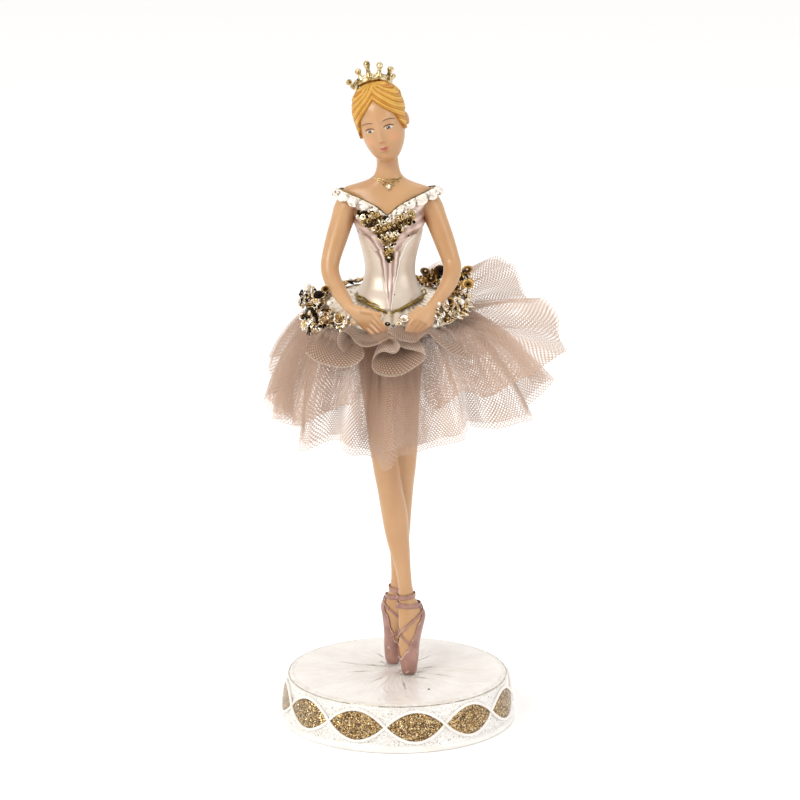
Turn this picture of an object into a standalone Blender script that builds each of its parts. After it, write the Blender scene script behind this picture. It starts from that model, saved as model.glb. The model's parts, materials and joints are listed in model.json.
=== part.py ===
"""Ballerina figurine: a cast, painted dancer on pointe with a crown, a sequin hip trim
and a tulle tutu, on a round cast plinth. Metres, +Z up, front towards -Y."""

import math

import bmesh
import bpy
from mathutils import Matrix, Vector

# Plinth
PLINTH_HEIGHT = 0.0215
PLINTH_FOOT_RADIUS = 0.0541
PLINTH_TOP_RADIUS = 0.0492
PLINTH_FOOT_LIP = 0.0026
PLINTH_EDGE_ROUND = 0.0016
LENS_COUNT = 12
LENS_TURN = math.radians(9.0)
LENS_HEIGHT = 0.0122
CORD_RADIUS = 0.0009
CORD_STEPS_PER_LENS = 6
GLITTER_THICKNESS = 0.0008

# Figure: a sculptor's unit is 1/270 of the height from the toe tips to the top of the hair
FIGURE_HEIGHT = 0.270
UNIT = FIGURE_HEIGHT / 270.0
REST_GAP = 0.0003

# Basque, the cast plate that flares from the waist and carries the tutu
BASQUE_WIDTH_RADIUS = 0.0325
BASQUE_DEPTH_RADIUS = 0.0280
BASQUE_THICKNESS = 0.0018

# Crown
CROWN_RADIUS = 0.0076
CROWN_BAND_HEIGHT = 0.0022
CROWN_BAND_WALL = 0.0012
CROWN_BULB_RADIUS = 0.00125

# Tutu
TULLE_THICKNESS = 0.0010
TULLE_GAP = 0.0006
UNDER_LAYER_DROP = 0.0550
TOP_LAYER_DROP = 0.0440
RUFFLE_DROP = 0.0200
BEND_SHARE = 0.18
FOLD_COUNT = 12
LAYER_FOLD = 0.11
RUFFLE_FOLD = 0.13

# Hip trim
TRIM_WIDTH = 0.0080
TRIM_HEIGHT = 0.0020
SEQUIN_RADIUS = 0.0040
SEQUIN_THICKNESS = 0.0010
SEQUIN_COUNT = 24
TRIM_CALM_SHARE = 0.12
TRIM_OPENING = math.radians(40.0)

# Mesh fineness
CAST_VOXEL = 0.0006
DANCER_TRIANGLES = 3240
CROWN_TRIANGLES = 420
TRIM_TRIANGLES = 860
BEADS_TRIANGLES = 280

MIDLINE = -3.5
HIP_HALF_WIDTH = 13.0
HIP_HALF_DEPTH = 10.2
BASQUE_ROOT = 175.0
BASQUE_ROOT_RADIUS = 13.0
BASQUE_CONE_DROP = 5.0
BASQUE_TILT = 0.20


def clear_scene():
    for old in list(bpy.data.objects):
        bpy.data.objects.remove(old, do_unlink=True)


def new_collection(name):
    made = bpy.data.collections.new(name)
    bpy.context.scene.collection.children.link(made)
    return made


def material(name, colour, roughness, metallic=0.0):
    made = bpy.data.materials.new(name)
    made.use_nodes = True
    shader = made.node_tree.nodes["Principled BSDF"]
    shader.inputs["Base Color"].default_value = (*colour, 1.0)
    shader.inputs["Roughness"].default_value = roughness
    shader.inputs["Metallic"].default_value = metallic
    return made


def place(name, mesh, finish, home):
    made = bpy.data.objects.new(name, mesh)
    home.objects.link(made)
    mesh.materials.clear()
    mesh.materials.append(finish)
    return made


def evaluated_mesh(obj):
    bpy.context.view_layer.update()
    graph = bpy.context.evaluated_depsgraph_get()
    return bpy.data.meshes.new_from_object(obj.evaluated_get(graph))


def smooth_through(keys, steps):
    """Rows of numbers on a smooth curve through the key rows."""
    rows = []
    last = len(keys) - 1
    for i in range(last):
        a = keys[max(i - 1, 0)]
        b = keys[i]
        c = keys[i + 1]
        d = keys[min(i + 2, last)]
        for n in range(steps):
            t = n / steps
            rows.append(
                [
                    0.5 * (2 * q + (r - p) * t + (2 * p - 5 * q + 4 * r - s) * t * t
                           + (3 * q - p - 3 * r + s) * t * t * t)
                    for p, q, r, s in zip(a, b, c, d)
                ]
            )
    rows.append(list(keys[last]))
    return rows


def around(value, keys):
    """A smooth value between keys (angle in degrees, value) on a full turn, by cosine easing."""
    at = math.degrees(value) % 360.0
    ring = sorted((k % 360.0, v) for k, v in keys)
    ring = [(ring[-1][0] - 360.0, ring[-1][1])] + ring + [(ring[0][0] + 360.0, ring[0][1])]
    for (a, u), (b, v) in zip(ring, ring[1:]):
        if a <= at <= b:
            ease = 0.5 - 0.5 * math.cos(math.pi * (at - a) / (b - a))
            return u + (v - u) * ease
    return ring[0][1]


def loft(bm, rings, sides):
    """A closed skin through elliptical rings, each (centre, half axis, half axis)."""
    loops = []
    for centre, u, v in rings:
        turn = [2 * math.pi * k / sides for k in range(sides)]
        verts = [bm.verts.new(centre + u * math.cos(t) + v * math.sin(t)) for t in turn]
        loops.append(verts)
    for low, high in zip(loops, loops[1:]):
        for k in range(sides):
            n = (k + 1) % sides
            bm.faces.new((low[k], low[n], high[n], high[k]))
    bm.faces.new(list(reversed(loops[0])))
    bm.faces.new(loops[-1])


def skin_loops(bm, loops, close=True):
    """Quads between closed loops of points, with flat ends when close is set."""
    rows = [[bm.verts.new(point) for point in loop] for loop in loops]
    sides = len(rows[0])
    for a, b in zip(rows, rows[1:]):
        for k in range(sides):
            n = (k + 1) % sides
            bm.faces.new((a[k], a[n], b[n], b[k]))
    if close:
        bm.faces.new(rows[0])
        bm.faces.new(list(reversed(rows[-1])))
    return rows


def keep_main_body(mesh):
    """Deletes the sealed bubbles that overlapping forms can trap between them."""
    bm = bmesh.new()
    bm.from_mesh(mesh)
    left = set(bm.verts)
    bodies = []
    while left:
        reached = [left.pop()]
        body = list(reached)
        while reached:
            vert = reached.pop()
            for edge in vert.link_edges:
                other = edge.other_vert(vert)
                if other in left:
                    left.remove(other)
                    reached.append(other)
                    body.append(other)
        bodies.append(body)
    bodies.sort(key=len)
    for body in bodies[:-1]:
        bmesh.ops.delete(bm, geom=body, context="VERTS")
    bm.to_mesh(mesh)
    bm.free()


def upright_rings(sections):
    """Rings for level sections (height, centre x, centre y, half width, half depth)."""
    return [
        (Vector((x, y, z)), Vector((w, 0, 0)), Vector((0, d, 0))) for z, x, y, w, d in sections
    ]


def limb(bm, keys, steps=4, sides=14):
    """A round limb through points (x, y, z, radius)."""
    rows = smooth_through(keys, steps)
    points = [Vector(row[:3]) for row in rows]
    side = Vector((0, 1, 0))
    rings = []
    for i, point in enumerate(points):
        along = points[min(i + 1, len(points) - 1)] - points[max(i - 1, 0)]
        along.normalize()
        u = side.cross(along).normalized()
        v = along.cross(u).normalized()
        rings.append((point, u * rows[i][3], v * rows[i][3]))
    loft(bm, rings, sides)


def ball(bm, centre, size, turn=None, detail=12):
    """An ellipsoid with half axes size."""
    matrix = Matrix.Translation(centre)
    if turn is not None:
        matrix = matrix @ turn.to_4x4()
    matrix = matrix @ Matrix.Diagonal((*size, 1.0))
    rows = detail // 2 + 2
    bmesh.ops.create_uvsphere(bm, u_segments=detail, v_segments=rows, radius=1.0, matrix=matrix)


# The dancer's pose, in sculptor's units above the plinth's top, measured about the plinth's axis
TORSO = [
    (143.0, -3.5, 0.5, 8.0, 6.5),
    (150.0, -3.5, 0.5, 12.2, 9.4),
    (160.0, -3.5, 0.5, HIP_HALF_WIDTH, HIP_HALF_DEPTH),
    (169.0, -3.5, 0.2, 12.8, 9.9),
    (172.0, -3.5, -0.8, 13.9, 11.4),
    (175.6, -3.5, -1.0, 14.4, 11.6),
    (179.5, -3.4, -0.5, 12.2, 9.6),
    (185.0, -3.4, 0.0, 10.7, 8.1),
    (192.0, -3.4, 0.0, 11.2, 8.4),
    (201.0, -3.4, -0.2, 13.5, 9.6),
    (208.5, -3.6, -0.4, 15.0, 10.2),
    (214.5, -3.8, -0.2, 16.2, 9.6),
    (219.0, -4.2, 0.0, 18.0, 8.0),
    (221.6, -4.6, 0.2, 19.4, 6.8),
    (223.4, -4.7, 0.3, 18.0, 6.0),
    (224.9, -4.5, 0.4, 13.2, 5.6),
    (226.8, -4.2, 0.3, 8.4, 5.2),
    (229.2, -4.2, 0.2, 5.9, 5.0),
    (233.0, -4.3, -0.2, 4.9, 4.9),
    (238.0, -4.7, -0.9, 4.8, 4.9),
    (243.0, -5.2, -1.6, 4.8, 5.2),
]
FRONT_LEG = [
    (-9.8, 0.5, 160.0, 8.8),
    (-9.2, -0.5, 145.0, 8.6),
    (-8.2, -1.5, 130.0, 7.6),
    (-6.6, -2.4, 110.0, 6.5),
    (-5.0, -3.0, 96.0, 6.0),
    (-3.2, -3.2, 85.0, 5.7),
    (-1.5, -2.6, 75.0, 5.9),
    (0.2, -2.6, 62.5, 5.2),
    (2.4, -3.2, 49.5, 3.6),
    (3.5, -3.8, 40.0, 3.2),
]
BACK_LEG = [
    (2.9, 0.5, 160.0, 8.8),
    (2.8, 1.2, 145.0, 8.4),
    (2.8, 2.2, 130.0, 7.4),
    (3.0, 4.0, 110.0, 6.4),
    (2.6, 5.2, 96.0, 5.9),
    (1.8, 6.6, 85.0, 5.5),
    (0.8, 7.6, 75.0, 5.7),
    (0.6, 8.0, 62.5, 5.0),
    (0.4, 8.0, 49.5, 3.6),
    (0.2, 8.0, 40.0, 3.2),
]
RIGHT_ARM = [
    (-19.6, 0.6, 218.6, 5.4),
    (-22.6, 0.2, 213.5, 5.6),
    (-24.6, -0.6, 208.0, 5.1),
    (-27.0, -2.2, 200.5, 4.8),
    (-29.2, -4.4, 193.0, 4.3),
    (-29.9, -6.8, 188.0, 4.1),
    (-28.6, -10.4, 183.4, 3.9),
    (-25.4, -16.2, 178.8, 3.4),
    (-22.4, -21.2, 175.2, 2.8),
    (-20.2, -24.8, 172.8, 2.3),
]
LEFT_ARM = [
    (11.8, 0.6, 218.8, 5.4),
    (14.8, 0.2, 214.0, 5.5),
    (17.3, -0.8, 208.5, 4.9),
    (20.6, -2.8, 200.0, 4.6),
    (23.4, -4.8, 192.0, 4.1),
    (24.3, -7.0, 188.0, 4.0),
    (23.0, -11.4, 183.0, 3.7),
    (19.6, -18.0, 178.4, 3.2),
    (16.6, -22.4, 175.6, 2.6),
    (14.8, -24.6, 174.0, 2.3),
]
# Each foot: (height, centre x, centre y, half length, half width), the length lying along its turn-out
FRONT_FOOT = [
    (0.0, 5.2, -7.4, 2.5, 2.3),
    (2.0, 5.3, -7.4, 3.3, 2.9),
    (8.0, 5.1, -7.2, 4.2, 3.9),
    (15.0, 5.2, -6.4, 4.9, 4.1),
    (22.0, 6.0, -5.4, 6.2, 4.0),
    (27.0, 6.4, -4.8, 7.0, 3.8),
    (31.0, 5.6, -4.6, 5.8, 3.6),
    (35.0, 4.2, -4.2, 4.2, 3.3),
    (41.0, 3.6, -3.8, 3.2, 3.1),
]
BACK_FOOT = [
    (0.0, -2.2, 8.4, 2.5, 2.3),
    (2.0, -2.2, 8.4, 3.3, 2.9),
    (8.0, -1.8, 8.3, 4.2, 3.9),
    (15.0, -1.4, 8.2, 4.8, 4.1),
    (22.0, -1.2, 8.1, 6.2, 4.0),
    (27.0, -1.4, 8.2, 7.0, 3.8),
    (31.0, -0.8, 8.2, 5.8, 3.6),
    (35.0, 0.0, 8.0, 4.2, 3.3),
    (41.0, 0.2, 8.0, 3.2, 3.1),
]
TURN_OUT = math.radians(38.0)

# Head: rings up the skull (height, forward shift, half width, half depth) in its own frame
HEAD_CENTRE = Vector((-7.3, -3.4, 253.8))
HEAD_ROLL = math.radians(-14.0)
HEAD_BOW = math.radians(9.0)
HEAD_TURN = math.radians(-7.0)
SKULL = [
    (-17.2, 7.2, 2.6, 2.2),
    (-16.0, 6.4, 4.6, 3.9),
    (-13.0, 4.8, 7.0, 6.8),
    (-9.0, 3.0, 8.8, 9.7),
    (-4.0, 1.2, 9.8, 11.4),
    (1.0, 0.4, 10.3, 12.3),
    (5.0, -0.2, 10.5, 12.6),
    (9.0, -0.8, 9.6, 11.5),
    (11.8, -1.3, 7.8, 9.1),
    (13.7, -1.7, 5.2, 6.0),
    (14.7, -1.9, 2.2, 2.6),
]
# Face relief: (side, height, spread side, spread height, push forward), in the skull's frame
FACE_FORMS = [
    (0.0, -4.6, 1.1, 1.9, 2.0),
    (0.0, -0.4, 0.9, 3.2, 0.9),
    (4.2, 0.2, 2.3, 1.7, -0.9),
    (-4.2, 0.2, 2.3, 1.7, -0.9),
    (0.0, -8.6, 1.9, 0.9, 0.8),
    (0.0, -10.9, 1.8, 0.9, -0.3),
    (0.0, -14.2, 2.4, 1.9, 0.8),
]
DOME_CENTRE = Vector((-1.0, 0.8, 4.2))
CROWN_SEAT_TILT = math.radians(40.0)
CROWN_SEAT = 11.0
CROWN_SEAT_GAP = 0.5
# The crown's points: (degrees round it from the front, length, lean outwards in degrees)
CROWN_POINTS = [
    (-78.0, 4.9, 42.0),
    (-24.0, 5.3, 30.0),
    (4.0, 7.5, 30.0),
    (36.0, 6.4, 32.0),
    (74.0, 5.9, 32.0),
    (110.0, 5.2, 30.0),
    (146.0, 5.0, 30.0),
    (182.0, 5.0, 30.0),
    (218.0, 5.0, 30.0),
    (250.0, 5.0, 34.0),
]
BUN_SIZE = (4.9, 4.9, 3.0)
HAIR_THICKNESS = 0.9
HAIR_PEAK = 8.4
HAIRLINE_CURVE = 0.115

# Top edge of the neckline's frill, centre front round one shoulder to the centre back:
# (side, depth, height, flare in degrees from straight down)
FRILL = [
    (0.0, -9.6, 212.0, 12.0),
    (2.4, -9.6, 213.8, 12.0),
    (5.1, -9.2, 216.0, 14.0),
    (10.1, -7.8, 218.6, 18.0),
    (15.5, -6.0, 220.8, 30.0),
    (19.6, -3.6, 222.4, 46.0),
    (21.0, 0.2, 222.8, 56.0),
    (19.4, 3.8, 222.2, 46.0),
    (14.5, 5.6, 221.2, 26.0),
    (8.0, 7.0, 220.2, 16.0),
    (0.0, 7.6, 219.6, 12.0),
]
FRILL_CENTRE = -4.4
FRILL_WIDTH = 4.2
FRILL_THICKNESS = 1.9
FRILL_LOBES = 12
FRILL_SKEW = 0.025


def head_frame():
    turn = Matrix.Rotation(HEAD_TURN, 3, "Z") @ Matrix.Rotation(HEAD_ROLL, 3, "Y")
    turn = turn @ Matrix.Rotation(HEAD_BOW, 3, "X")
    return Matrix.Translation(HEAD_CENTRE) @ turn.to_4x4()


def crown_frame():
    lean_back = Matrix.Rotation(-CROWN_SEAT_TILT, 4, "X")
    dome = head_frame() @ Matrix.Translation(DOME_CENTRE) @ lean_back
    return dome @ Matrix.Translation((0, 0, CROWN_SEAT))


def add_head(bm):
    frame = head_frame()
    turn = frame.to_3x3()
    rings = []
    for height, forward, width, depth in smooth_through(SKULL, 3):
        centre = frame @ Vector((0, -forward, height))
        rings.append((centre, turn @ Vector((width, 0, 0)), turn @ Vector((0, depth, 0))))
    loft(bm, rings, 32)
    for side in (-1, 1):
        ball(bm, frame @ Vector((side * 10.2, 0.6, -1.6)), (1.1, 1.7, 2.9), turn)
    seat = crown_frame()
    ball(bm, seat @ Vector((0, 0, 0.8)), BUN_SIZE, seat.to_3x3(), detail=14)


def sculpt_face(point, frame, inverse):
    """Moves a surface point of the head by the face's relief and the hair's thickness."""
    local = inverse @ point
    side, depth, height = local
    if height < -17.8 or height > 16.0 or local.length > 24.0:
        return point
    front = max(0.0, min(1.0, (-depth - 4.0) / 4.0))
    push = 0.0
    for x, z, wide, tall, amount in FACE_FORMS:
        push += amount * math.exp(-((side - x) / wide) ** 2 - ((height - z) / tall) ** 2)
    hairline = HAIR_PEAK - HAIRLINE_CURVE * side * side
    above = max(0.0, min(1.0, (height - hairline) / 0.8))
    behind = max(0.0, min(1.0, (depth + 2.0) / 1.5)) if height > -6.5 else 0.0
    outward = Vector((side, depth, 0.25 * height)).normalized()
    moved = local + Vector((0, -push * front, 0)) + outward * HAIR_THICKNESS * max(above, behind)
    return level_seat(frame @ moved)


def level_seat(point):
    """Presses the hair down to a flat ring that the crown's band rests on."""
    seat = crown_frame()
    local = seat.inverted() @ point
    band = CROWN_RADIUS / UNIT
    reach = math.hypot(local.x, local.y)
    if band - 2.2 < reach < band + 1.2 and local.z > -CROWN_SEAT_GAP:
        local.z = -CROWN_SEAT_GAP
    return seat @ local


def add_hand(bm, wrist, knuckles, tips, spread, thumb, width, thickness):
    """A palm from the wrist to the knuckles, four fingers and a thumb."""
    along = (knuckles - wrist).normalized()
    across = spread.normalized()
    flat = along.cross(across).normalized()
    stations = ((0.0, 0.44, 0.9), (0.35, 0.78, 1.0), (0.75, 1.0, 0.95), (1.05, 0.92, 0.75))
    rings = []
    for share, wide, thick in stations:
        centre = wrist.lerp(knuckles, share)
        rings.append((centre, across * width * wide, flat * thickness * thick))
    loft(bm, rings, 12)
    for k, tip in enumerate(tips):
        root = knuckles + across * width * (0.78 - 0.52 * k)
        middle = root.lerp(tip, 0.55) + flat * 0.5
        keys = [(*root, 1.35), (*middle, 1.15), (*tip, 0.8)]
        limb(bm, keys, steps=3, sides=8)
    base, end = thumb
    middle = base.lerp(end, 0.5) + flat * 0.3
    limb(bm, [(*base, 1.5), (*middle, 1.25), (*end, 0.9)], steps=3, sides=8)


def add_hands(bm):
    wrist = Vector((-20.6, -24.4, 173.2))
    knuckles = Vector((-11.8, -30.0, 168.6))
    spread = Vector((0.42, -0.1, 1.0))
    tips = [
        Vector((-3.4, -33.0, 165.6)),
        Vector((-2.6, -34.0, 163.6)),
        Vector((-3.4, -34.4, 161.9)),
        Vector((-5.4, -34.0, 160.6)),
    ]
    thumb = (Vector((-15.4, -28.0, 173.0)), Vector((-7.2, -30.6, 170.6)))
    add_hand(bm, wrist, knuckles, tips, spread, thumb, 4.6, 2.1)
    wrist = Vector((15.2, -24.2, 174.4))
    knuckles = Vector((10.4, -30.0, 168.4))
    spread = Vector((-1.0, -0.2, 0.62))
    tips = [
        Vector((3.6, -34.2, 164.6)),
        Vector((4.4, -35.0, 162.6)),
        Vector((6.2, -35.2, 161.6)),
        Vector((8.4, -34.8, 161.8)),
    ]
    thumb = (Vector((10.0, -27.0, 174.0)), Vector((4.6, -30.6, 170.0)))
    add_hand(bm, wrist, knuckles, tips, spread, thumb, 4.6, 2.1)


def add_foot(bm, sections, turn):
    along = Vector((math.cos(turn), math.sin(turn), 0))
    across = Vector((-math.sin(turn), math.cos(turn), 0))
    rings = []
    for height, x, y, length, width in smooth_through(sections, 2):
        rings.append((Vector((x, y, height)), along * length, across * width))
    loft(bm, rings, 16)


def basque_height(angle, radius):
    """Height of the basque's top at an angle from the front and a share of its rim radius."""
    root = BASQUE_ROOT_RADIUS * UNIT / BASQUE_WIDTH_RADIUS
    drop = BASQUE_CONE_DROP * max(0.0, (radius - root) / (1.0 - root))
    lean = BASQUE_TILT * radius * BASQUE_DEPTH_RADIUS / UNIT * math.cos(angle)
    return BASQUE_ROOT - drop - lean


def add_basque(bm):
    thick = BASQUE_THICKNESS / UNIT
    shares = [0.25, 0.45, 0.65, 0.85, 0.97, 1.0]
    stations = [(share, 0.0) for share in shares]
    stations += [(share, thick) for share in reversed(shares[:-1])]
    sides = 48
    loops = []
    for share, down in stations:
        loop = []
        for k in range(sides):
            angle = 2 * math.pi * k / sides
            x = MIDLINE + BASQUE_WIDTH_RADIUS / UNIT * share * math.sin(angle)
            y = -BASQUE_DEPTH_RADIUS / UNIT * share * math.cos(angle)
            middle = thick / 2 if share == 1.0 else down
            loop.append((x, y, basque_height(angle, share) - middle))
        loops.append(loop)
    skin_loops(bm, loops)


def add_frill(bm):
    """The cast frill of the off-shoulder neckline, a lobed band that flares from its top edge."""
    rows = smooth_through(FRILL, 6)
    for side in (-1, 1):
        rings = []
        for k, (x, y, z, flare) in enumerate(rows):
            tilt = math.radians(flare)
            out = Vector((side * x / 2.2, y, 0)).normalized()
            down = out * math.sin(tilt) + Vector((0, 0, -math.cos(tilt)))
            lobe = abs(math.sin(math.pi * FRILL_LOBES * k / (len(rows) - 1)))
            reach = FRILL_WIDTH * (0.8 + 0.35 * lobe)
            edge = Vector((FRILL_CENTRE + side * x, y, z + FRILL_SKEW * side * x))
            thick = down.cross(Vector((-out.y, out.x, 0))) * FRILL_THICKNESS / 2 * (0.8 + 0.4 * lobe)
            rings.append((edge + down * reach / 2, down * reach / 2, thick))
        loft(bm, rings, 8)


def fused(name, bm, scale, voxel, triangles, finish, home, sculpt=None, relax=2):
    """Blends a bmesh of overlapping closed forms into one casting with about that many triangles."""
    bmesh.ops.transform(bm, matrix=Matrix.Diagonal((scale, scale, scale, 1.0)), verts=bm.verts)
    bmesh.ops.recalc_face_normals(bm, faces=bm.faces)
    mesh = bpy.data.meshes.new(name)
    bm.to_mesh(mesh)
    bm.free()
    rough = bpy.data.objects.new(name, mesh)
    home.objects.link(rough)
    remesh = rough.modifiers.new("cast", "REMESH")
    remesh.mode = "VOXEL"
    remesh.voxel_size = voxel
    ease = rough.modifiers.new("ease", "SMOOTH")
    ease.factor = 0.5
    ease.iterations = relax
    cast = evaluated_mesh(rough)
    bpy.data.objects.remove(rough, do_unlink=True)
    keep_main_body(cast)
    if sculpt is not None:
        for vertex in cast.vertices:
            vertex.co = sculpt(vertex.co / scale) * scale
    made = place(name, cast, finish, home)
    cast.shade_smooth()
    fewer = made.modifiers.new("fewer", "DECIMATE")
    faces = sum(len(p.vertices) - 2 for p in cast.polygons)
    fewer.ratio = min(1.0, triangles / faces)
    fewer.use_collapse_triangulate = True
    return made


def make_dancer(finish, home):
    bm = bmesh.new()
    loft(bm, upright_rings(smooth_through(TORSO, 3)), 28)
    for side in (-1, 1):
        ball(bm, Vector((-3.6 + side * 6.6, -5.0, 208.8)), (7.8, 6.1, 7.0), detail=16)
    ball(bm, Vector((-3.6, -4.6, 208.6)), (11.0, 6.2, 6.0), detail=16)
    limb(bm, FRONT_LEG)
    limb(bm, BACK_LEG)
    limb(bm, RIGHT_ARM)
    limb(bm, LEFT_ARM)
    add_foot(bm, FRONT_FOOT, TURN_OUT)
    add_foot(bm, BACK_FOOT, math.pi - TURN_OUT)
    add_hands(bm)
    add_basque(bm)
    add_frill(bm)
    add_head(bm)
    frame = head_frame()
    inverse = frame.inverted()
    made = fused(
        "dancer", bm, UNIT, CAST_VOXEL, DANCER_TRIANGLES, finish, home,
        sculpt=lambda point: sculpt_face(point, frame, inverse),
    )
    made.location = (0, 0, PLINTH_HEIGHT + REST_GAP)
    return made


def plinth_slope():
    """Radius at the foot of the plinth's slanted wall, at its top, and the two heights."""
    low = PLINTH_FOOT_LIP + 0.0008
    high = PLINTH_HEIGHT - PLINTH_EDGE_ROUND
    return PLINTH_FOOT_RADIUS - 0.0011, PLINTH_TOP_RADIUS + 0.0014, low, high


def wall_point(angle, height, out):
    """A point on the plinth's slanted wall at an angle from the front, pushed out from it."""
    foot, top, low, high = plinth_slope()
    share = (height - low) / (high - low)
    slant = math.atan2(foot - top, high - low)
    radius = foot + (top - foot) * share + out * math.cos(slant)
    return Vector((radius * math.sin(angle), -radius * math.cos(angle), height + out * math.sin(slant)))


def lens_band():
    """Middle height of the lens chain on the wall and how far its cords swing from it."""
    _, _, low, high = plinth_slope()
    return (low + high) / 2, LENS_HEIGHT / 2 + CORD_RADIUS


def cord_swing(angle):
    """Share of the cords' swing at an angle: 0 where they cross, 1 over the middle of a lens."""
    return abs(math.cos(LENS_COUNT * (angle - LENS_TURN) / 2)) ** 0.85


def make_plinth(finish, home):
    """A turned drum whose slanted wall carries two wavy cords that cross between the lenses."""
    foot, top, low, high = plinth_slope()
    edge = PLINTH_EDGE_ROUND
    middle, reach = lens_band()
    sides = LENS_COUNT * CORD_STEPS_PER_LENS
    angles = [LENS_TURN + 2 * math.pi * k / sides for k in range(sides)]

    def level(radius, height):
        return [(radius * math.sin(a), -radius * math.cos(a), height) for a in angles]

    def wave(sign, step):
        loop = []
        for a in angles:
            swing = reach * cord_swing(a)
            least = (0.05, 0.25, 0.45)[step + 1] * CORD_RADIUS
            height = max(swing + step * CORD_RADIUS, least)
            out = CORD_RADIUS if step == 0 else max(0.0, CORD_RADIUS - swing) * (step == -1)
            loop.append(wall_point(a, middle + sign * height, out))
        return loop

    loops = [
        level(PLINTH_TOP_RADIUS - edge, PLINTH_HEIGHT),
        level(PLINTH_TOP_RADIUS, PLINTH_HEIGHT - 0.35 * edge),
        level(top, high),
        wave(1, 1),
        wave(1, 0),
        wave(1, -1),
        wave(-1, -1),
        wave(-1, 0),
        wave(-1, 1),
        level(foot, low),
        level(PLINTH_FOOT_RADIUS, PLINTH_FOOT_LIP),
        level(PLINTH_FOOT_RADIUS, 0.0),
    ]
    bm = bmesh.new()
    skin_loops(bm, loops)
    bmesh.ops.recalc_face_normals(bm, faces=bm.faces)
    mesh = bpy.data.meshes.new("plinth")
    bm.to_mesh(mesh)
    bm.free()
    return place("plinth", mesh, finish, home)


def make_glitter_fill(number, finish, home):
    """One lens-shaped bed of glitter, lying on the wall inside its frame of cords."""
    middle, reach = lens_band()
    half_angle = math.pi / LENS_COUNT
    across = 6
    rise = 1
    bm = bmesh.new()
    centre = LENS_TURN + number * 2 * half_angle
    margin = CORD_RADIUS + REST_GAP
    layers = []
    for out in (REST_GAP, REST_GAP + GLITTER_THICKNESS):
        rows = []
        for i in range(across + 1):
            share = -1 + 2 * i / across
            angle = centre + share * half_angle * 0.80
            half = reach * cord_swing(angle) - 1.35 * margin
            heights = [middle + half * (-1 + 2 * j / rise) for j in range(rise + 1)]
            rows.append([bm.verts.new(wall_point(angle, height, out)) for height in heights])
        layers.append(rows)
    for rows, flip in ((layers[0], True), (layers[1], False)):
        for a, b in zip(rows, rows[1:]):
            for j in range(rise):
                face = (a[j], b[j], b[j + 1], a[j + 1])
                bm.faces.new(tuple(reversed(face)) if flip else face)
    rims = []
    for rows in layers:
        rim = [row[0] for row in rows] + rows[-1][1:]
        rim += [row[rise] for row in reversed(rows[:-1])]
        rims.append(rim)
    low, high = rims
    for k in range(len(low)):
        n = (k + 1) % len(low)
        bm.faces.new((low[k], low[n], high[n], high[k]))
    bmesh.ops.recalc_face_normals(bm, faces=bm.faces)
    mesh = bpy.data.meshes.new(f"glitter_fill_{number + 1:02d}")
    bm.to_mesh(mesh)
    bm.free()
    return place(mesh.name, mesh, finish, home)


def make_crown(finish, home):
    bm = bmesh.new()
    outer = CROWN_RADIUS / UNIT
    wall = CROWN_BAND_WALL / UNIT
    tall = CROWN_BAND_HEIGHT / UNIT
    sides = 40
    section = [(outer, 0.0), (outer + 0.5, tall), (outer + 0.5 - wall, tall), (outer - wall, 0.0)]
    loops = []
    for k in range(sides):
        turn = 2 * math.pi * k / sides
        loops.append([bm.verts.new((r * math.sin(turn), -r * math.cos(turn), z)) for r, z in section])
    for k in range(sides):
        a, b = loops[k], loops[(k + 1) % sides]
        for j in range(4):
            n = (j + 1) % 4
            bm.faces.new((a[j], b[j], b[n], a[n]))
    bulb = CROWN_BULB_RADIUS / UNIT
    for degrees, length, lean in CROWN_POINTS:
        turn = math.radians(degrees)
        out = Vector((math.sin(turn), -math.cos(turn), 0))
        root = out * (outer - wall / 2 + 0.3) + Vector((0, 0, tall * 0.6))
        along = out * math.sin(math.radians(lean)) + Vector((0, 0, math.cos(math.radians(lean))))
        neck = length - 2.9 * bulb
        keys = [
            (*root, 0.95),
            (*(root + along * neck), 0.62),
            (*(root + along * (length - 1.6 * bulb)), 1.0 * bulb),
            (*(root + along * (length - 0.3 * bulb)), 0.7 * bulb),
        ]
        limb(bm, keys, steps=3, sides=8)
    bmesh.ops.transform(bm, matrix=crown_frame(), verts=bm.verts)
    made = fused("crown", bm, UNIT, 0.6 * CAST_VOXEL, CROWN_TRIANGLES, finish, home, relax=1)
    made.location = (0, 0, PLINTH_HEIGHT + REST_GAP)
    return made


# Droop below the level at the rim and at the hem, in degrees, by the angle from the front
# towards the dancer's left
UNDER_DROOP = [
    (0, (70, 86)), (35, (64, 82)), (60, (54, 72)), (90, (44, 60)), (125, (30, 46)),
    (160, (32, 52)), (205, (42, 66)), (240, (50, 80)), (270, (54, 86)), (300, (60, 86)),
    (330, (66, 86)),
]
TOP_DROOP = [
    (0, (50, 74)), (35, (46, 66)), (60, (20, 36)), (90, (0, 14)), (125, (-14, 2)),
    (160, (-2, 18)), (205, (20, 46)), (240, (34, 66)), (270, (40, 78)), (300, (46, 78)),
    (330, (48, 72)),
]
RUFFLE_DROOP = [(0, (24, 44)), (60, (16, 34)), (180, (16, 34)), (300, (22, 40))]


def fold_wave(angle):
    """The tutu's gathers at an angle: uneven folds of about unit height."""
    slow = 0.55 * math.sin(2 * angle + 0.6) + 0.35 * math.sin(3 * angle + 2.1)
    main = math.sin(FOLD_COUNT * angle + 1.3 * slow)
    return 0.82 * main + 0.18 * math.sin((FOLD_COUNT + 6) * angle + 2.0 + slow)


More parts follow.
